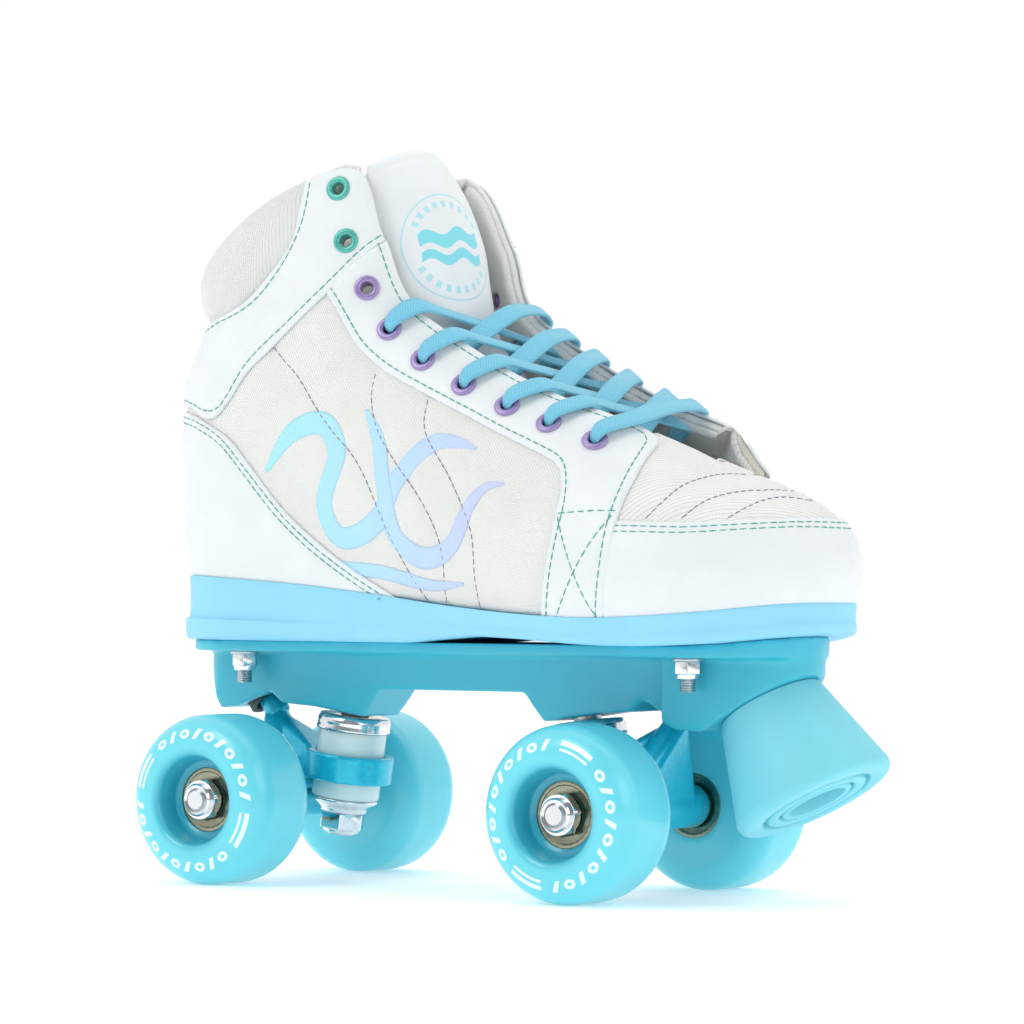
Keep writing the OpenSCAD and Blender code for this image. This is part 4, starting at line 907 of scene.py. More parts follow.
def leather_seams():
    """Where each leather panel is sewn down, as lines on the boot."""
    cap = round_toe(CAP_HIGH)
    counter = round_heel(COUNTER_HIGH)
    strap_low, strap_high = round_heel(STRAP_LOW), round_heel(STRAP_HIGH)
    box = [[(3.86, 0.43), (3.4, 0.465), (2.98, 0.49)], [(3.83, 0.42), (3.45, 0.24), (3.08, 0.02)],
           [(3.02, 0.47), (3.3, 0.28), (3.62, 0.02)]]
    lateral = [inset(STAY_LOW, 2.4, -1), inset(STAY_HIGH, 3.2, 1)] + box
    medial = [inset(STAY_LOW, 2.4, -1), inset(INNER_STAY_HIGH, 3.2, 1)] + box
    return {
        "toe_cap": [inset(cap, 2.0, 1), inset(cap, 4.0, 1)],
        "heel_counter": [inset(counter, 1.8, 1), inset(counter, 3.8, 1)],
        "ankle_strap": [inset(strap_low, 2.2, -1), inset(strap_high, 2.2, 1)],
        "eyestay_lateral": lateral,
        "eyestay_medial": [mirrored(line) for line in medial],
    }


def make_stitches():
    teal = []
    for piece, lines in leather_seams().items():
        top = PANEL_OUT + (0.35 if piece == "ankle_strap" else 0) - 0.2
        for line in lines:
            teal += stitch_run(line, top, shift=flap_shift if piece == "eyestay_medial" else None)
    keep(mesh_object("seam_stitches", *joined(teal), MAT["thread"]), ROOT, "lace")
    grey = []
    for line in WAVES + [mirrored(w) for w in WAVES] + TOE_ARCS + [[(-a, v) for a, v in t] for t in TOE_ARCS]:
        grey += stitch_run(line, -0.45, 2.5, 0.3, 0.22)
    keep(mesh_object("quilting_stitches", *joined(grey), MAT["grey_thread"]), ROOT, "lace")


PAD_LOW = [(9.05, 0.735), (9.35, 0.69), (9.74, 0.63), (10.3, 0.66), (10.9, 0.71), (11.42, 0.76), (12, 0.775)]


def make_collar_pad():
    """The padded cuff: one closed roll from the mesh outside, over the rim, to the lining inside."""
    line = rail(round_heel(PAD_LOW), np.linspace(0, 1, 111))
    a, low = line[:, 0], line[:, 1]
    fat = smooth_step(12 - np.abs(a - 12), 0, 1) * smooth_step(2.75 - np.abs(a - 12), -0.1, 0.9)
    ring = []
    outer = [(-0.2, -3.9, -0.4), (-0.11, -2.0, 0.2), (-0.02, -0.5, 0.5), (0.07, 0.1, 1.3), (0.22, 0.4, 2.2),
             (0.45, 0.3, 2.5), (0.65, 0.2, 2.4), (0.82, 0.0, 2.0), (0.94, -0.4, 1.2)]
    for share, base, swell in outer:
        ring.append((low + (1 - low) * share, base + swell * fat))
    for rise, base, swell in ((0.6, -1.6, 0.8), (2.2, -3.6, 0.2), (2.4, -6.0, -0.6), (0.6, -8.2, -1.2)):
        ring.append((1 + rise * (0.4 + 0.6 * fat) / 100, base + swell * fat))
    for share, base in ((0.85, -9.2), (0.6, -9.8), (0.35, -9.6), (0.15, -8.4), (0.02, -5.5)):
        ring.append((low + (1 - low) * share, base + 0 * fat))
    sheet = np.stack([skin(a, v, off) for v, off in ring], 1)
    rows, cols = sheet.shape[:2]
    points = sheet.reshape(-1, 3)
    faces = loop_faces(rows, cols) + [list(range(cols)), list(range((rows - 1) * cols, rows * cols))]
    across = np.concatenate([np.zeros((rows, 1)), np.cumsum(np.linalg.norm(np.diff(sheet, axis=1), axis=2), 1)], 1)
    round_it = np.repeat(lengths(boot(a, np.full_like(a, 0.85)))[:, None], cols, 1)
    uv = np.stack([round_it, across], 2).reshape(-1, 2) * MM
    obj = mesh_object("collar_pad", points, faces, MAT["pad_mesh"], uv)
    smooth = obj.modifiers.new("round", "SUBSURF")
    smooth.levels = smooth.render_levels = 2
    apply_modifiers(obj)
    keep(obj, ROOT, "lining", "collar_pad")


TONGUE_LINE = [(96, 134.5), (85, 140), (73, 145), (52.5, 152.5), (32.5, 162), (15, 174), (2.5, 188),
               (-2, 204.5), (-5.2, 221), (-12, 237), (-19, 247.5), (-24.5, 254.5)]
TONGUE_HALF = [14, 15, 16, 18, 20, 22, 23.5, 25, 26, 27, 27, 25]
TONGUE_Y = 6
TONGUE_BEND = 28
TONGUE_T = 4.6
BADGE_SIDE = 8.5
BADGE_SCALE = 0.92
BADGE_Z = 219.6


def tongue_point(s, c, depth):
    """s is the distance along the tongue as a share, c from -1 to 1 across it, depth below its face."""
    line = smooth_line(TONGUE_LINE, 16)
    half = smooth_line([(h,) for h in TONGUE_HALF], 16)[:, 0]
    d = lengths(line)
    tangent = unit(np.gradient(line, axis=0))
    at = s * d[-1]
    x, z, w = (np.interp(at, d, k) for k in (line[:, 0], line[:, 1], half))
    tx, tz = (np.interp(at, d, tangent[:, k]) for k in (0, 1))
    turn = c * np.arcsin(np.clip(w / TONGUE_BEND, -1, 1))
    r = TONGUE_BEND - depth
    drop = TONGUE_BEND - r * np.cos(turn)
    return np.stack([x - tz * drop, TONGUE_Y + r * np.sin(turn), z + tx * drop], -1)


def make_tongue():
    s = np.concatenate([np.linspace(0, 0.96, 90), np.linspace(0.965, 1, 10)])
    c = np.sin(np.linspace(-math.pi / 2, math.pi / 2, 45))
    S, C = np.meshgrid(s, c, indexing="ij")
    corner = smooth_step(S, 0.9, 1.0) * 0.16
    across = C * (1 - corner * np.abs(S - 0.9) / 0.1)
    end = np.clip((S - 0.975) / 0.025, 0, 1)
    swell = np.sqrt(np.clip(1 - np.abs(C)**6, 0, 1)) * np.sqrt(np.clip(1 - end**2, 0, 1))
    hem = 0.35 * np.exp(-((S - 0.975) / 0.006)**2)
    outer = tongue_point(S, across, TONGUE_T / 2 * (1 - swell) + hem * swell)
    inner = tongue_point(S, across, TONGUE_T / 2 * (1 + swell))
    points, faces = closed_shell(outer, inner)
    line = smooth_line(TONGUE_LINE, 16)
    d = lengths(line)
    badge = np.interp(BADGE_Z, line[:, 1], d)
    half = smooth_line([(h,) for h in TONGUE_HALF], 16)[:, 0]
    width = np.interp(S * d[-1], d, half)
    round_it = across * TONGUE_BEND * np.arcsin(width / TONGUE_BEND) + BADGE_SIDE
    uv = np.stack([round_it, S * d[-1] - badge], 2) * MM * BADGE_SCALE
    uv = uv.reshape(-1, 2)
    obj = mesh_object("tongue", points, faces, MAT["badge"], np.concatenate([uv, uv + 0.2]))
    obj.data.materials.append(MAT["lining"])
    back = len(grid_faces(*outer.shape[:2]))
    for k in range(back, min(2 * back, len(obj.data.polygons))):
        obj.data.polygons[k].material_index = 1
    keep(obj, ROOT, "leather", "tongue")


def make_eyelets():
    roll = [(3.25 + 1.1 * math.cos(w), 0.35 + 0.75 * math.sin(w)) for w in np.linspace(math.pi, 0, 13)]
    profile = [(2.15, -5.2), *roll, (4.3, 0.05), (2.85, 0.05), (2.85, -5.2)]
    lifted = [(r, h + PANEL_OUT) for r, h in profile]
    for name, spots in (("eyelets_purple", slice(0, PURPLE)), ("eyelets_teal", slice(PURPLE, 9))):
        parts = []
        for side in ("lateral", "medial"):
            parts += [lathe(lifted, 36, surface_frame(a, v)) for a, v in EYELETS[side][spots]]
        slot = "eyelet_purple" if name.endswith("purple") else "eyelet_teal"
        keep(mesh_object(name, *joined(parts), MAT[slot], sharp_deg=50), ROOT, slot, name)


# --- lace ---------------------------------------------------------------------------------------
LACED = 6
FLAT_HALF = 3.75
FLAT_THICK = 0.85
THROAT_UP = unit(np.array([0.5, 0.0, 0.86]))


def other(side):
    return "medial" if side == "lateral" else "lateral"


def eyelet_axes(side, k):
    """Row, centre, outward axis, axis up the boot, and width direction at an eyelet."""
    a, v = EYELETS[side][k]
    m = np.array(surface_frame(a, v))
    return a, m[:3, 3], m[:3, 2], m[:3, 1], np.cross(m[:3, 2], m[:3, 1])


def stop(point, wide, half=FLAT_HALF, thick=FLAT_THICK):
    """One control point of the lace: place, width direction, half width and half thickness."""
    return (*point, *wide, half, thick)


def outside_leg(side, k):
    """From inside an eyelet, out, and over the edge of the facing."""
    a, at, out, up, wide = eyelet_axes(side, k)
    rim = boot(a, 0.985) + boot_normal(a, 0.97) * 2.9
    return [
        stop(at - out * 3.6, wide, 1.7, 1.0),
        stop(at + out * 1.9, wide, 1.75, 1.05),
        stop(at + out * 4.1 + up * 1.9, wide, 2.5, 0.95),
        stop(at + out * 3.6 + up * 6.2, wide, 3.3),
        stop(rim + up * 0.4, wide, FLAT_HALF - 0.1),
    ]


def inside_leg(side, k):
    """From under the edge of the facing to the inner mouth of an eyelet."""
    a, at, out, up, wide = eyelet_axes(side, k)
    return [
        stop(boot(a, 0.965) - out * 6.9, wide, FLAT_HALF - 0.25),
        stop(at - out * 7.6 + up * 1.5, wide, 2.6, 0.95),
    ]


def crossing(start, finish, lift):
    """Points between two facing edges, arched over the tongue."""
    p, q = np.array(start[:3]), np.array(finish[:3])
    wide = unit(np.cross(THROAT_UP, unit(q - p)))
    return [stop(p + (q - p) * f + THROAT_UP * math.sin(math.pi * f) * lift, wide) for f in (0.2, 0.5, 0.8)]


def lace_lift(side, k):
    return 3.8 + k if side == "medial" else 0.15 * k


def lace_pass(side, k):
    """From an outer leg at eyelet k, across and under the other side's edge to its eyelet k - 1."""
    leg, under = outside_leg(side, k), inside_leg(other(side), k - 1)
    return leg + crossing(leg[-1], under[0], lace_lift(side, k)) + under


def tucked_end(side):
    _, at, out, up, wide = eyelet_axes(side, LACED - 1)
    return [stop(at - out * 9.5 - up * 16, wide, 2.5, 0.95), stop(at - out * 8.6 - up * 6, wide, 2.5, 0.95)]


def lace_route():
    """The whole lace: from the top of one side, across and back down to the toe, and up again."""
    route = tucked_end("lateral")
    side = "lateral"
    for k in range(LACED - 1, 0, -1):
        route += lace_pass(side, k)
        side = other(side)
    first, second = outside_leg(side, 0), outside_leg(other(side), 0)[::-1]
    route += first + crossing(first[-1], second[0], 2.2) + second
    side = other(side)
    for k in range(1, LACED):
        side = other(side)
        route += lace_pass(side, k)[::-1]
    return np.array(route + tucked_end("medial")[::-1])


def make_laces():
    route = lace_route()
    for i in range(1, len(route)):
        if np.dot(route[i, 3:6], route[i - 1, 3:6]) < 0:
            route[i, 3:6] *= -1
    dense = smooth_line(route, 10)
    d = lengths(dense[:, :3])
    at = np.arange(0, d[-1], 0.8)
    dense = np.stack([np.interp(at, d, dense[:, k]) for k in range(8)], 1)
    for _ in range(3):
        dense[1:-1] = (dense[:-2] + 2 * dense[1:-1] + dense[2:]) / 4
    p = dense[:, :3]
    t = unit(np.gradient(p, axis=0))
    wide = dense[:, 3:6]
    wide = unit(wide - t * np.sum(wide * t, 1)[:, None])
    thick = np.cross(t, wide)
    count = 56
    turn = np.linspace(0, 2 * math.pi, count, endpoint=False)
    x = np.sign(np.cos(turn)) * np.abs(np.cos(turn))**0.8
    ribs = 1 - 0.22 * (0.5 + 0.5 * np.cos(x * math.pi * 5))
    y = np.sign(np.sin(turn)) * np.abs(np.sin(turn))**0.5 * ribs
    points = (p[:, None] + wide[:, None] * (dense[:, 6, None] * x)[..., None]
              + thick[:, None] * (dense[:, 7, None] * y)[..., None])
    uv = np.stack([np.repeat(at[:, None], count, 1), np.repeat((turn * 2.6)[None], len(at), 0)], 2) * MM
    points = points.reshape(-1, 3)
    faces = loop_faces(len(at), count)
    faces += [list(range(count)), list(range((len(at) - 1) * count, len(at) * count))]
    obj = mesh_object("laces", points, faces, MAT["lace"], uv.reshape(-1, 2))
    keep(obj, ROOT, "lace", "laces")


# --- side print ---------------------------------------------------------------------------------
STROKES = [
    ([(7.9, 0.30, 1.5), (7.55, 0.42, 5.5), (7.05, 0.485, 6.5), (6.75, 0.42, 6.0), (6.8, 0.27, 5.5),
      (6.5, 0.18, 6.0), (6.05, 0.25, 6.5), (5.85, 0.42, 5.5), (5.6, 0.56, 5.0), (5.3, 0.60, 3.0), (5.1, 0.60, 0.8)]),
    ([(6.55, 0.58, 1.0), (6.25, 0.50, 4.0), (6.0, 0.36, 5.0), (5.75, 0.22, 5.5), (5.35, 0.17, 6.0),
      (5.02, 0.24, 5.0), (4.92, 0.38, 4.0), (4.8, 0.47, 2.5), (4.62, 0.50, 0.8)]),
    ([(7.3, 0.17, 0.8), (7.0, 0.11, 2.8), (6.5, 0.085, 3.6), (5.9, 0.09, 3.8), (5.3, 0.075, 3.2), (4.85, 0.10, 0.8)]),
]


def make_side_print():
    """An abstract pair of brushed waves over a third, thin one."""
    parts, uvs = [], []
    for layer, stroke in enumerate(STROKES):
        dense = smooth_line(stroke, 14)
        a, v, half = dense[:, 0], dense[:, 1], np.maximum(dense[:, 2], 0.4) * 0.62
        at = boot(a, v)
        across = unit(np.cross(boot_normal(a, v), np.gradient(at, axis=0)))
        h = 0.01
        da, dv = (boot(a + h, v) - boot(a - h, v)) / (2 * h), (boot(a, v + h) - boot(a, v - h)) / (2 * h)
        g = np.stack([np.stack([np.sum(p * q, 1) for q in (da, dv)], 1) for p in (da, dv)], 1)
        rhs = np.stack([np.sum(across * p, 1) for p in (da, dv)], 1)
        move = np.linalg.solve(g, rhs[..., None])[..., 0]
        share = np.linspace(-1, 1, 9)
        spot = dense[:, None, :2] + move[:, None] * (half[:, None] * share)[..., None]
        sa, sv = spot[..., 0], spot[..., 1]
        pull = dents(boot(sa, sv), WAVES, 0.55, 2.0)
        lift = 0.10 + 0.05 * layer
        outer, inner = skin(sa, sv, lift - pull), skin(sa, sv, lift - 0.08 - pull)
        parts.append(closed_shell(outer, inner))
        uv = boot_uv(sa, sv).reshape(-1, 2)
        uvs += [uv, uv]
    points, faces = joined(parts)
    keep(mesh_object("side_print", points, faces, MAT["print"], np.concatenate(uvs)), ROOT, "lace")


# --- sole ---------------------------------------------------------------------------------------
SOLE_BASE = [(-125, 83.2), (0, 83.2), (10, 84.2), (30, 85.8), (52, 85), (72, 83.7), (84, 83.2), (96, 83.2),
             (117, 84.3), (138, 87), (155, 90)]
SOLE_OUT = 2.2


def foot_line(a, out):
    """The boot's footprint in plan, moved outward."""
    at = boot(a, np.zeros_like(a))
    t = boot(a + 0.05, np.zeros_like(a)) - boot(a - 0.05, np.zeros_like(a))
    n = unit(np.stack([t[:, 1], -t[:, 0]], 1))
    return at[:, :2] - n * np.asarray(out)[..., None], at[:, 2]


def make_outsole():
    half = 150
    a = np.linspace(0, ROWS, 2 * half, endpoint=False)
    base_x, base_z = np.array(SOLE_BASE).T
    flat, _ = foot_line(a, np.zeros_like(a))
    heel = 1 - smooth_step(flat[:, 0], -70, -20)
    rings = []
    walls = [(0.0, -1.4, 0), (0.02, -0.6, 0), (0.07, -0.1, 0), (0.14, 0.05, 0), (0.27, 0.1, 0), (0.34, 0.1, 0),
             (0.37, 0.0, 0), (0.40, -0.1, 0), (0.6, -0.2, 0), (0.82, -0.1, 0), (0.93, 0.0, 0.2), (1.0, 0.05, 0.55),
             (1.0, -0.15, 0.85), (1.0, -0.4, 0.9), (1.0, -0.62, 0.75), (1.0, -0.7, 0.4), (1.0, -0.75, -0.2)]
    for share, out, rise in walls:
        lip = 1.3 * heel * (share <= 0.35) * (share >= 0.01)
        xy, z_top = foot_line(a, SOLE_OUT + out + lip)
        z_low = np.interp(xy[:, 0], base_x, base_z)
        z = z_low + (z_top - 0.35 - z_low) * share + rise
        rings.append(np.column_stack([xy, z]))
    count = 2 * half
    points = [np.concatenate(rings)]
    faces = loop_faces(len(rings), count)
    start = len(rings) * count
    across = 24
    for ring, base in ((0, True), (len(rings) - 1, False)):
        edge = rings[ring]
        grid = []
        for i in range(half + 1):
            p, q = edge[i], edge[(count - i) % count]
            row = [ring * count + i]
            if 0 < i < half:
                fill = p + (q - p) * np.linspace(0, 1, across + 1)[1:-1, None]
                if base:
                    fill[:, 2] = np.interp(fill[:, 0], base_x, base_z)
                row += list(range(start, start + across - 1))
                start += across - 1
                points.append(fill)
                row += [ring * count + count - i]
            grid.append(row)
        for here, there in zip(grid, grid[1:]):
            if len(here) == 1:
                faces += [[here[0], there[j], there[j + 1]] for j in range(across)]
            elif len(there) == 1:
                faces += [[here[j], there[0], here[j + 1]] for j in range(across)]
            else:
                faces += [[here[j], there[j], there[j + 1], here[j + 1]] for j in range(across)]
    obj = mesh_object("outsole", np.concatenate(points), faces, MAT["sole"], sharp_deg=55)
    keep(obj, ROOT, "sole", "outsole")


# --- wheels and bearings ------------------------------------------------------------------------
def node_size(node):
    low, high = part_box(node)
    return (high - low) / MM


WHEEL_R = node_size("wheel_front_right")[2] / 2
WHEEL_W = node_size("wheel_front_right")[1]
AXLE_X = (SPINS[-1]["pos_m"][0] - ORIGIN[0]) / MM
WHEEL_Y = abs(SPINS[-1]["pos_m"][1]) / MM
LIP_R = 9.2
BEARING_R = 11
BEARING_W = 7
INNER_GAP = 0.2
BEARING_GAP = 10


def wheel_place(end, side):
    """Local Z points to the wheel's outer side, from the skate's middle plane."""
    spin = Matrix.Rotation(math.radians(-90 * side), 4, "X")
    return Matrix.Translation((AXLE_X * end, 0, WHEEL_R)) @ spin


def make_wheel(name, body, end, side):
    y0, y1 = WHEEL_Y - WHEEL_W / 2, WHEEL_Y + WHEEL_W / 2
    b0 = y0 + INNER_GAP
    b1 = b0 + BEARING_W + BEARING_GAP
    profile = [(BEARING_R + 0.3, y0 + 0.1), (13, y0)]
    profile += arc(WHEEL_R - LIP_R, y0 + LIP_R, LIP_R, -90, 0, 24)
    profile += arc(WHEEL_R - LIP_R, y1 - LIP_R, LIP_R, 0, 90, 24)
    profile += [(18.6, y1)]
    profile += arc(17.6, y1 - 2.8, 2.8, 90, 168, 12)
    profile += [(14.2, y1 - 5.5), (13.4, y1 - 8.0), (12.4, b1 + BEARING_W + 0.9), (11.5, b1 + BEARING_W + 0.2)]
    profile += [(BEARING_R, b1 + BEARING_W), (BEARING_R, b1), (9.6, b1), (9.6, b0 + BEARING_W),
                (BEARING_R, b0 + BEARING_W), (BEARING_R, b0)]
    steps = 144
    points, faces = lathe(profile, steps, wheel_place(end, side))
    obj = mesh_object(name, points, faces, MAT["wheel"], None, sharp_deg=45)
    write_wheel_uv(obj)
    keep(obj, body, "wheel", name)


def write_wheel_uv(obj):
    """UV from each face corner's own angle and radius, so that the seam of the angle stays clean."""
    mesh = obj.data
    layer = mesh.uv_layers.new(name="UVMap")
    co = np.zeros(len(mesh.vertices) * 3)
    mesh.vertices.foreach_get("co", co)
    co = (co.reshape(-1, 3) - ORIGIN) / MM
    centre_x = AXLE_X if co[:, 0].mean() > 0 else -AXLE_X
    x, z = co[:, 0] - centre_x, co[:, 2] - WHEEL_R
    turn = (np.arctan2(z, x) / (2 * math.pi)) % 1
    radius = np.hypot(x, z)
    outer = np.abs(co[:, 1]) > WHEEL_Y + 2
    for face in mesh.polygons:
        corners = [turn[i] for i in face.vertices]
        wrap = max(corners) - min(corners) > 0.5
        shown = all(outer[i] for i in face.vertices)
        for loop, vertex in zip(face.loop_indices, face.vertices):
            t = turn[vertex] + (1 if wrap and turn[vertex] < 0.5 else 0) + (0.25 if centre_x > 0 else 0)
            layer.data[loop].uv = (t, radius[vertex] / 100 if shown else 0.28)


def hex_nut(across, low, high, bore, collar_r, collar_top):
    """A chamfered hexagon with a round collar, open in the middle: points and faces round Z."""
    steps = 72
    turn = np.linspace(0, 2 * math.pi, steps, endpoint=False)
    flat = across / 2 / np.cos((turn + math.pi / 6) % (math.pi / 3) - math.pi / 6)
    corner = across / 2 / math.cos(math.pi / 6)
    chamfer = corner - 0.9
    levels = [(bore, low), (chamfer, low), (corner + 9, low + 0.75), (corner + 9, high - 0.75), (chamfer, high),
              (collar_r, high), (collar_r, collar_top - 0.7), (collar_r - 0.6, collar_top), (bore, collar_top - 0.3)]
    rings = []
    for r, h in levels:
        radius = np.minimum(flat, r)
        rings.append(np.stack([radius * np.cos(turn), radius * np.sin(turn), np.full(steps, h)], 1))
    faces = loop_faces(len(levels), steps)
    last = (len(levels) - 1) * steps
    faces += [[last + k, last + (k + 1) % steps, (k + 1) % steps, k] for k in range(steps)]
    return np.concatenate(rings), faces


def moved(part, place):
    points, faces = part
    return points @ np.array(place.to_3x3()).T + np.array(place.translation), faces


def make_axle_nuts(name, body, end):
    nut_low = WHEEL_Y - WHEEL_W / 2 + INNER_GAP + 2 * BEARING_W + BEARING_GAP + 0.84
    nut = hex_nut(13, nut_low, nut_low + 3.6, 4.02, 5.6, nut_low + 5.5)
    parts = [moved(nut, wheel_place(end, side) @ Matrix.Rotation(0.35 * side, 4, "Z")) for side in (-1, 1)]
    keep(mesh_object(name, *joined(parts), MAT["chrome"], sharp_deg=30), body, "steel", name)


def make_axle(name, body, end):
    tip = node_size(name)[1] / 2
    profile = [(0.01, -tip), (3.1, -tip), (3.9, -tip + 0.8), (3.9, tip - 0.8), (3.1, tip), (0.01, tip)]
    part = lathe(profile, 48, wheel_place(end, 1))
    keep(mesh_object(name, *part, MAT["axle_thread"], sharp_deg=30), body, "steel", name)


def make_rolling():
    for end_name, end in (("rear", -1), ("front", 1)):
        make_axle_nuts(f"axle_nuts_{end_name}", f"truck_{end_name}", end)
        make_axle(f"axle_{end_name}", f"truck_{end_name}", end)
        for side_name, side in (("right", -1), ("left", 1)):
            make_wheel(f"wheel_{end_name}_{side_name}", f"wheel_body_{end_name}_{side_name}", end, side)


# --- toe stop -----------------------------------------------------------------------------------
STOP_TOP = (118.8, 0, 64.45)
STOP_ANGLE = 60.4
STOP_LEN = 36


def stop_place():
    return Matrix.Translation(STOP_TOP) @ Matrix.Rotation(math.radians(90 + STOP_ANGLE), 4, "Y")


def make_toe_stop():
    top_r, end_r, end = 17.95, 27.0, STOP_LEN
    groove = 2.4
    profile = [(4.15, 0.05), (top_r - 0.9, 0.05)] + arc(top_r - 0.9, 0.95, 0.9, -90, -14, 5)[1:]
    profile += arc(end_r - 3.0, end - 3.0, 3.0, -14, 90, 14)
    for outer, inner in ((19.3, 17.4), (13.5, 12.2)):
        profile += [(outer + 0.4, end), (outer, end - 0.4), (outer - 0.3, end - groove), (inner + 0.3, end - groove),
                    (inner, end - 0.4), (inner - 0.4, end)]
    profile += [(10.2, end), (9.7, end - 0.6), (9.3, end - 15), (4.15, end - 15)]
    part = lathe(profile, 128, stop_place())
    keep(mesh_object("toe_stop", *part, MAT["toe_stop"], sharp_deg=50), ROOT, "toe_stop", "toe_stop")


# --- CAD nodes that stay ------------------------------------------------------------------------
def dress(node, material, bevel=0.0, angle=35):
    """A CAD node keeps its shape and gets a material and, if asked, rounded edges."""
    obj = frame["nodes"][node]
    obj.data.materials.clear()
    obj.data.materials.append(MAT[material])
    obj.data.shade_smooth()
    if bevel:
        weld = obj.modifiers.new("weld", "WELD")
        weld.merge_threshold = 1e-5
        edge = obj.modifiers.new("bevel", "BEVEL")
        edge.width = bevel * MM
        edge.segments = 3
        edge.limit_method = "ANGLE"
        edge.angle_limit = math.radians(angle)
        edge.harden_normals = True


def soften(node, material, voxel=0.7, rounds=4):
    """A moulded or cast CAD node gets rounded edges: a fine remesh, then smoothing."""
    obj = frame["nodes"][node]
    obj.data.materials.clear()
    obj.data.materials.append(MAT[material])
    remesh = obj.modifiers.new("cast", "REMESH")
    remesh.mode = "VOXEL"
    remesh.voxel_size = voxel * MM
    remesh.use_smooth_shade = True
    blur = obj.modifiers.new("blur", "SMOOTH")
    blur.factor = 0.5
    blur.iterations = rounds


def dress_frame():
    soften("plate", "plate", 0.8, 6)
    dress("insole", "lining")
    for node in ("mounting_bolts",):
        dress(node, "bolt_thread", 0.3)
    dress("mounting_washers", "steel", 0.2)
    dress("mounting_nuts", "chrome", 0.35)
    dress("toe_stop_bolt", "steel", 0.3)
    dress("toe_stop_insert", "brass")
    for end in ("rear", "front"):
        soften(f"hanger_{end}", "hanger", 0.55, 5)
        dress(f"pivot_cup_{end}", "black", 0.4)
        dress(f"kingpin_{end}", "steel", 0.3)
        dress(f"kingpin_nut_{end}", "chrome", 0.5)
        dress(f"upper_retainer_{end}", "chrome", 0.4)
        dress(f"lower_retainer_{end}", "chrome", 0.3)
        dress(f"upper_cushion_{end}", "cushion", 0.8)
        dress(f"lower_cushion_{end}", "cushion", 0.8)
        dress(f"bearing_inner_rings_{end}", "bearing", 0.25)
        dress(f"axle_washers_{end}", "steel", 0.15)
        for side in ("right", "left"):
            dress(f"bearing_outers_{end}_{side}", "bearing", 0.25)
            dress(f"bearing_balls_{end}_{side}", "chrome")


# --- studio -------------------------------------------------------------------------------------
CAMERA_AT = (774.33, -1122.06, 97.18)
CAMERA_YAW = 0.59372
CAMERA_PITCH = 0.02247
CAMERA_ROLL = 0.007177
CAMERA_LENS = 140.166


def make_camera():
    forward = np.array([-math.sin(CAMERA_YAW) * math.cos(CAMERA_PITCH),
                        math.cos(CAMERA_YAW) * math.cos(CAMERA_PITCH), math.sin(CAMERA_PITCH)])
    right = np.array([math.cos(CAMERA_YAW), math.sin(CAMERA_YAW), 0])
    up = np.cross(right, forward)
    c, s = math.cos(CAMERA_ROLL), math.sin(CAMERA_ROLL)
    axes = np.stack([c * right + s * up, -s * right + c * up, -forward], 1)
    camera = bpy.data.objects.new("camera", bpy.data.cameras.new("camera"))
    camera.matrix_world = Matrix.Translation(to_world(CAMERA_AT).tolist()) @ Matrix(axes.tolist()).to_4x4()
    camera.data.lens = CAMERA_LENS
    camera.data.sensor_width = 36
    camera.data.clip_start = 0.05
    scene.collection.objects.link(camera)
    scene.camera = camera


def make_light(name, at, aim, size, power, color=(1, 1, 1)):
    data = bpy.data.lights.new(name, "AREA")
    data.shape = "RECTANGLE"
    data.size, data.size_y = size
    data.energy = power
    data.color = color
    lamp = bpy.data.objects.new(name, data)
    lamp.location = at
    lamp.rotation_euler = (Vector(aim) - Vector(at)).to_track_quat("-Z", "Y").to_euler()
    scene.collection.objects.link(lamp)


LIGHT_AIM = (0.0, 0.0, 0.12)
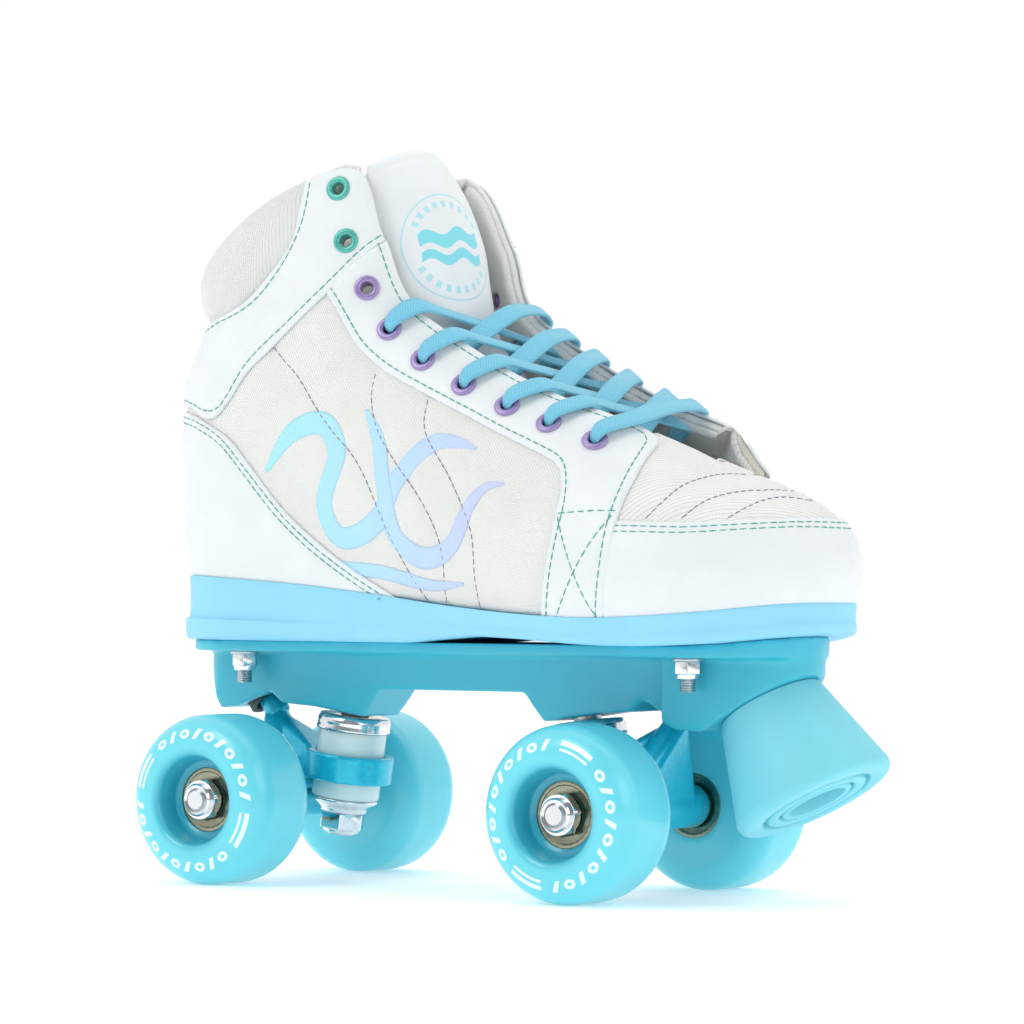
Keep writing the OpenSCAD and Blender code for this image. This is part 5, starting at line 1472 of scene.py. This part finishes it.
# Name, place in metres, size in metres and power in watts.
LIGHTS = [
    ("key", (-0.5, -1.5, 1.5), (1.0, 1.0), 11.5),
    ("fill", (1.6, -0.5, 0.8), (1.2, 1.0), 6),
    ("top", (0.1, 0.5, 1.9), (1.5, 1.2), 5),
]
# The studio is white, and dimmer on the camera's side, so that the shapes get some shade.
STUDIO_WHITE = (1.0, 1.0, 1.0, 1)
STUDIO_SHADE = (0.30, 0.33, 0.35, 1)


def make_studio():
    floor_mesh = bpy.data.meshes.new("floor")
    reach = 6.0
    floor_mesh.from_pydata([(-reach, -reach, 0), (reach, -reach, 0), (reach, reach, 0), (-reach, reach, 0)], [],
                           [(0, 1, 2, 3)])
    floor = bpy.data.objects.new("floor", floor_mesh)
    pale = Nodes("pale_floor", (0.93, 0.94, 0.95), 0.6, Emission_Color=(1, 1, 1, 1), Emission_Strength=0.3)
    floor_mesh.materials.append(pale.mat)
    scene.collection.objects.link(floor)
    world = bpy.data.worlds.new("studio")
    world.use_nodes = True
    tree = world.node_tree
    place = tree.nodes.new("ShaderNodeTexCoord")
    toward = tree.nodes.new("ShaderNodeVectorMath")
    toward.operation = "DOT_PRODUCT"
    toward.inputs[1].default_value = Vector(CAMERA_AT).normalized()
    fade = tree.nodes.new("ShaderNodeValToRGB")
    fade.color_ramp.elements[0].position = 0.25
    fade.color_ramp.elements[0].color = STUDIO_WHITE
    fade.color_ramp.elements[1].position = 0.6
    fade.color_ramp.elements[1].color = STUDIO_SHADE
    tree.links.new(place.outputs["Generated"], toward.inputs[0])
    tree.links.new(toward.outputs["Value"], fade.inputs[0])
    tree.links.new(fade.outputs[0], tree.nodes["Background"].inputs[0])
    tree.nodes["Background"].inputs[1].default_value = 1.0
    scene.world = world
    scene.view_settings.view_transform = "Standard"
    for name, place, size, power in LIGHTS:
        make_light(name, place, LIGHT_AIM, size, power)


make_camera()
make_sides()
make_vamp()
make_panels()
make_collar_pad()
make_tongue()
make_eyelets()
make_laces()
make_stitches()
make_side_print()
make_outsole()
make_rolling()
make_toe_stop()
dress_frame()
make_studio()
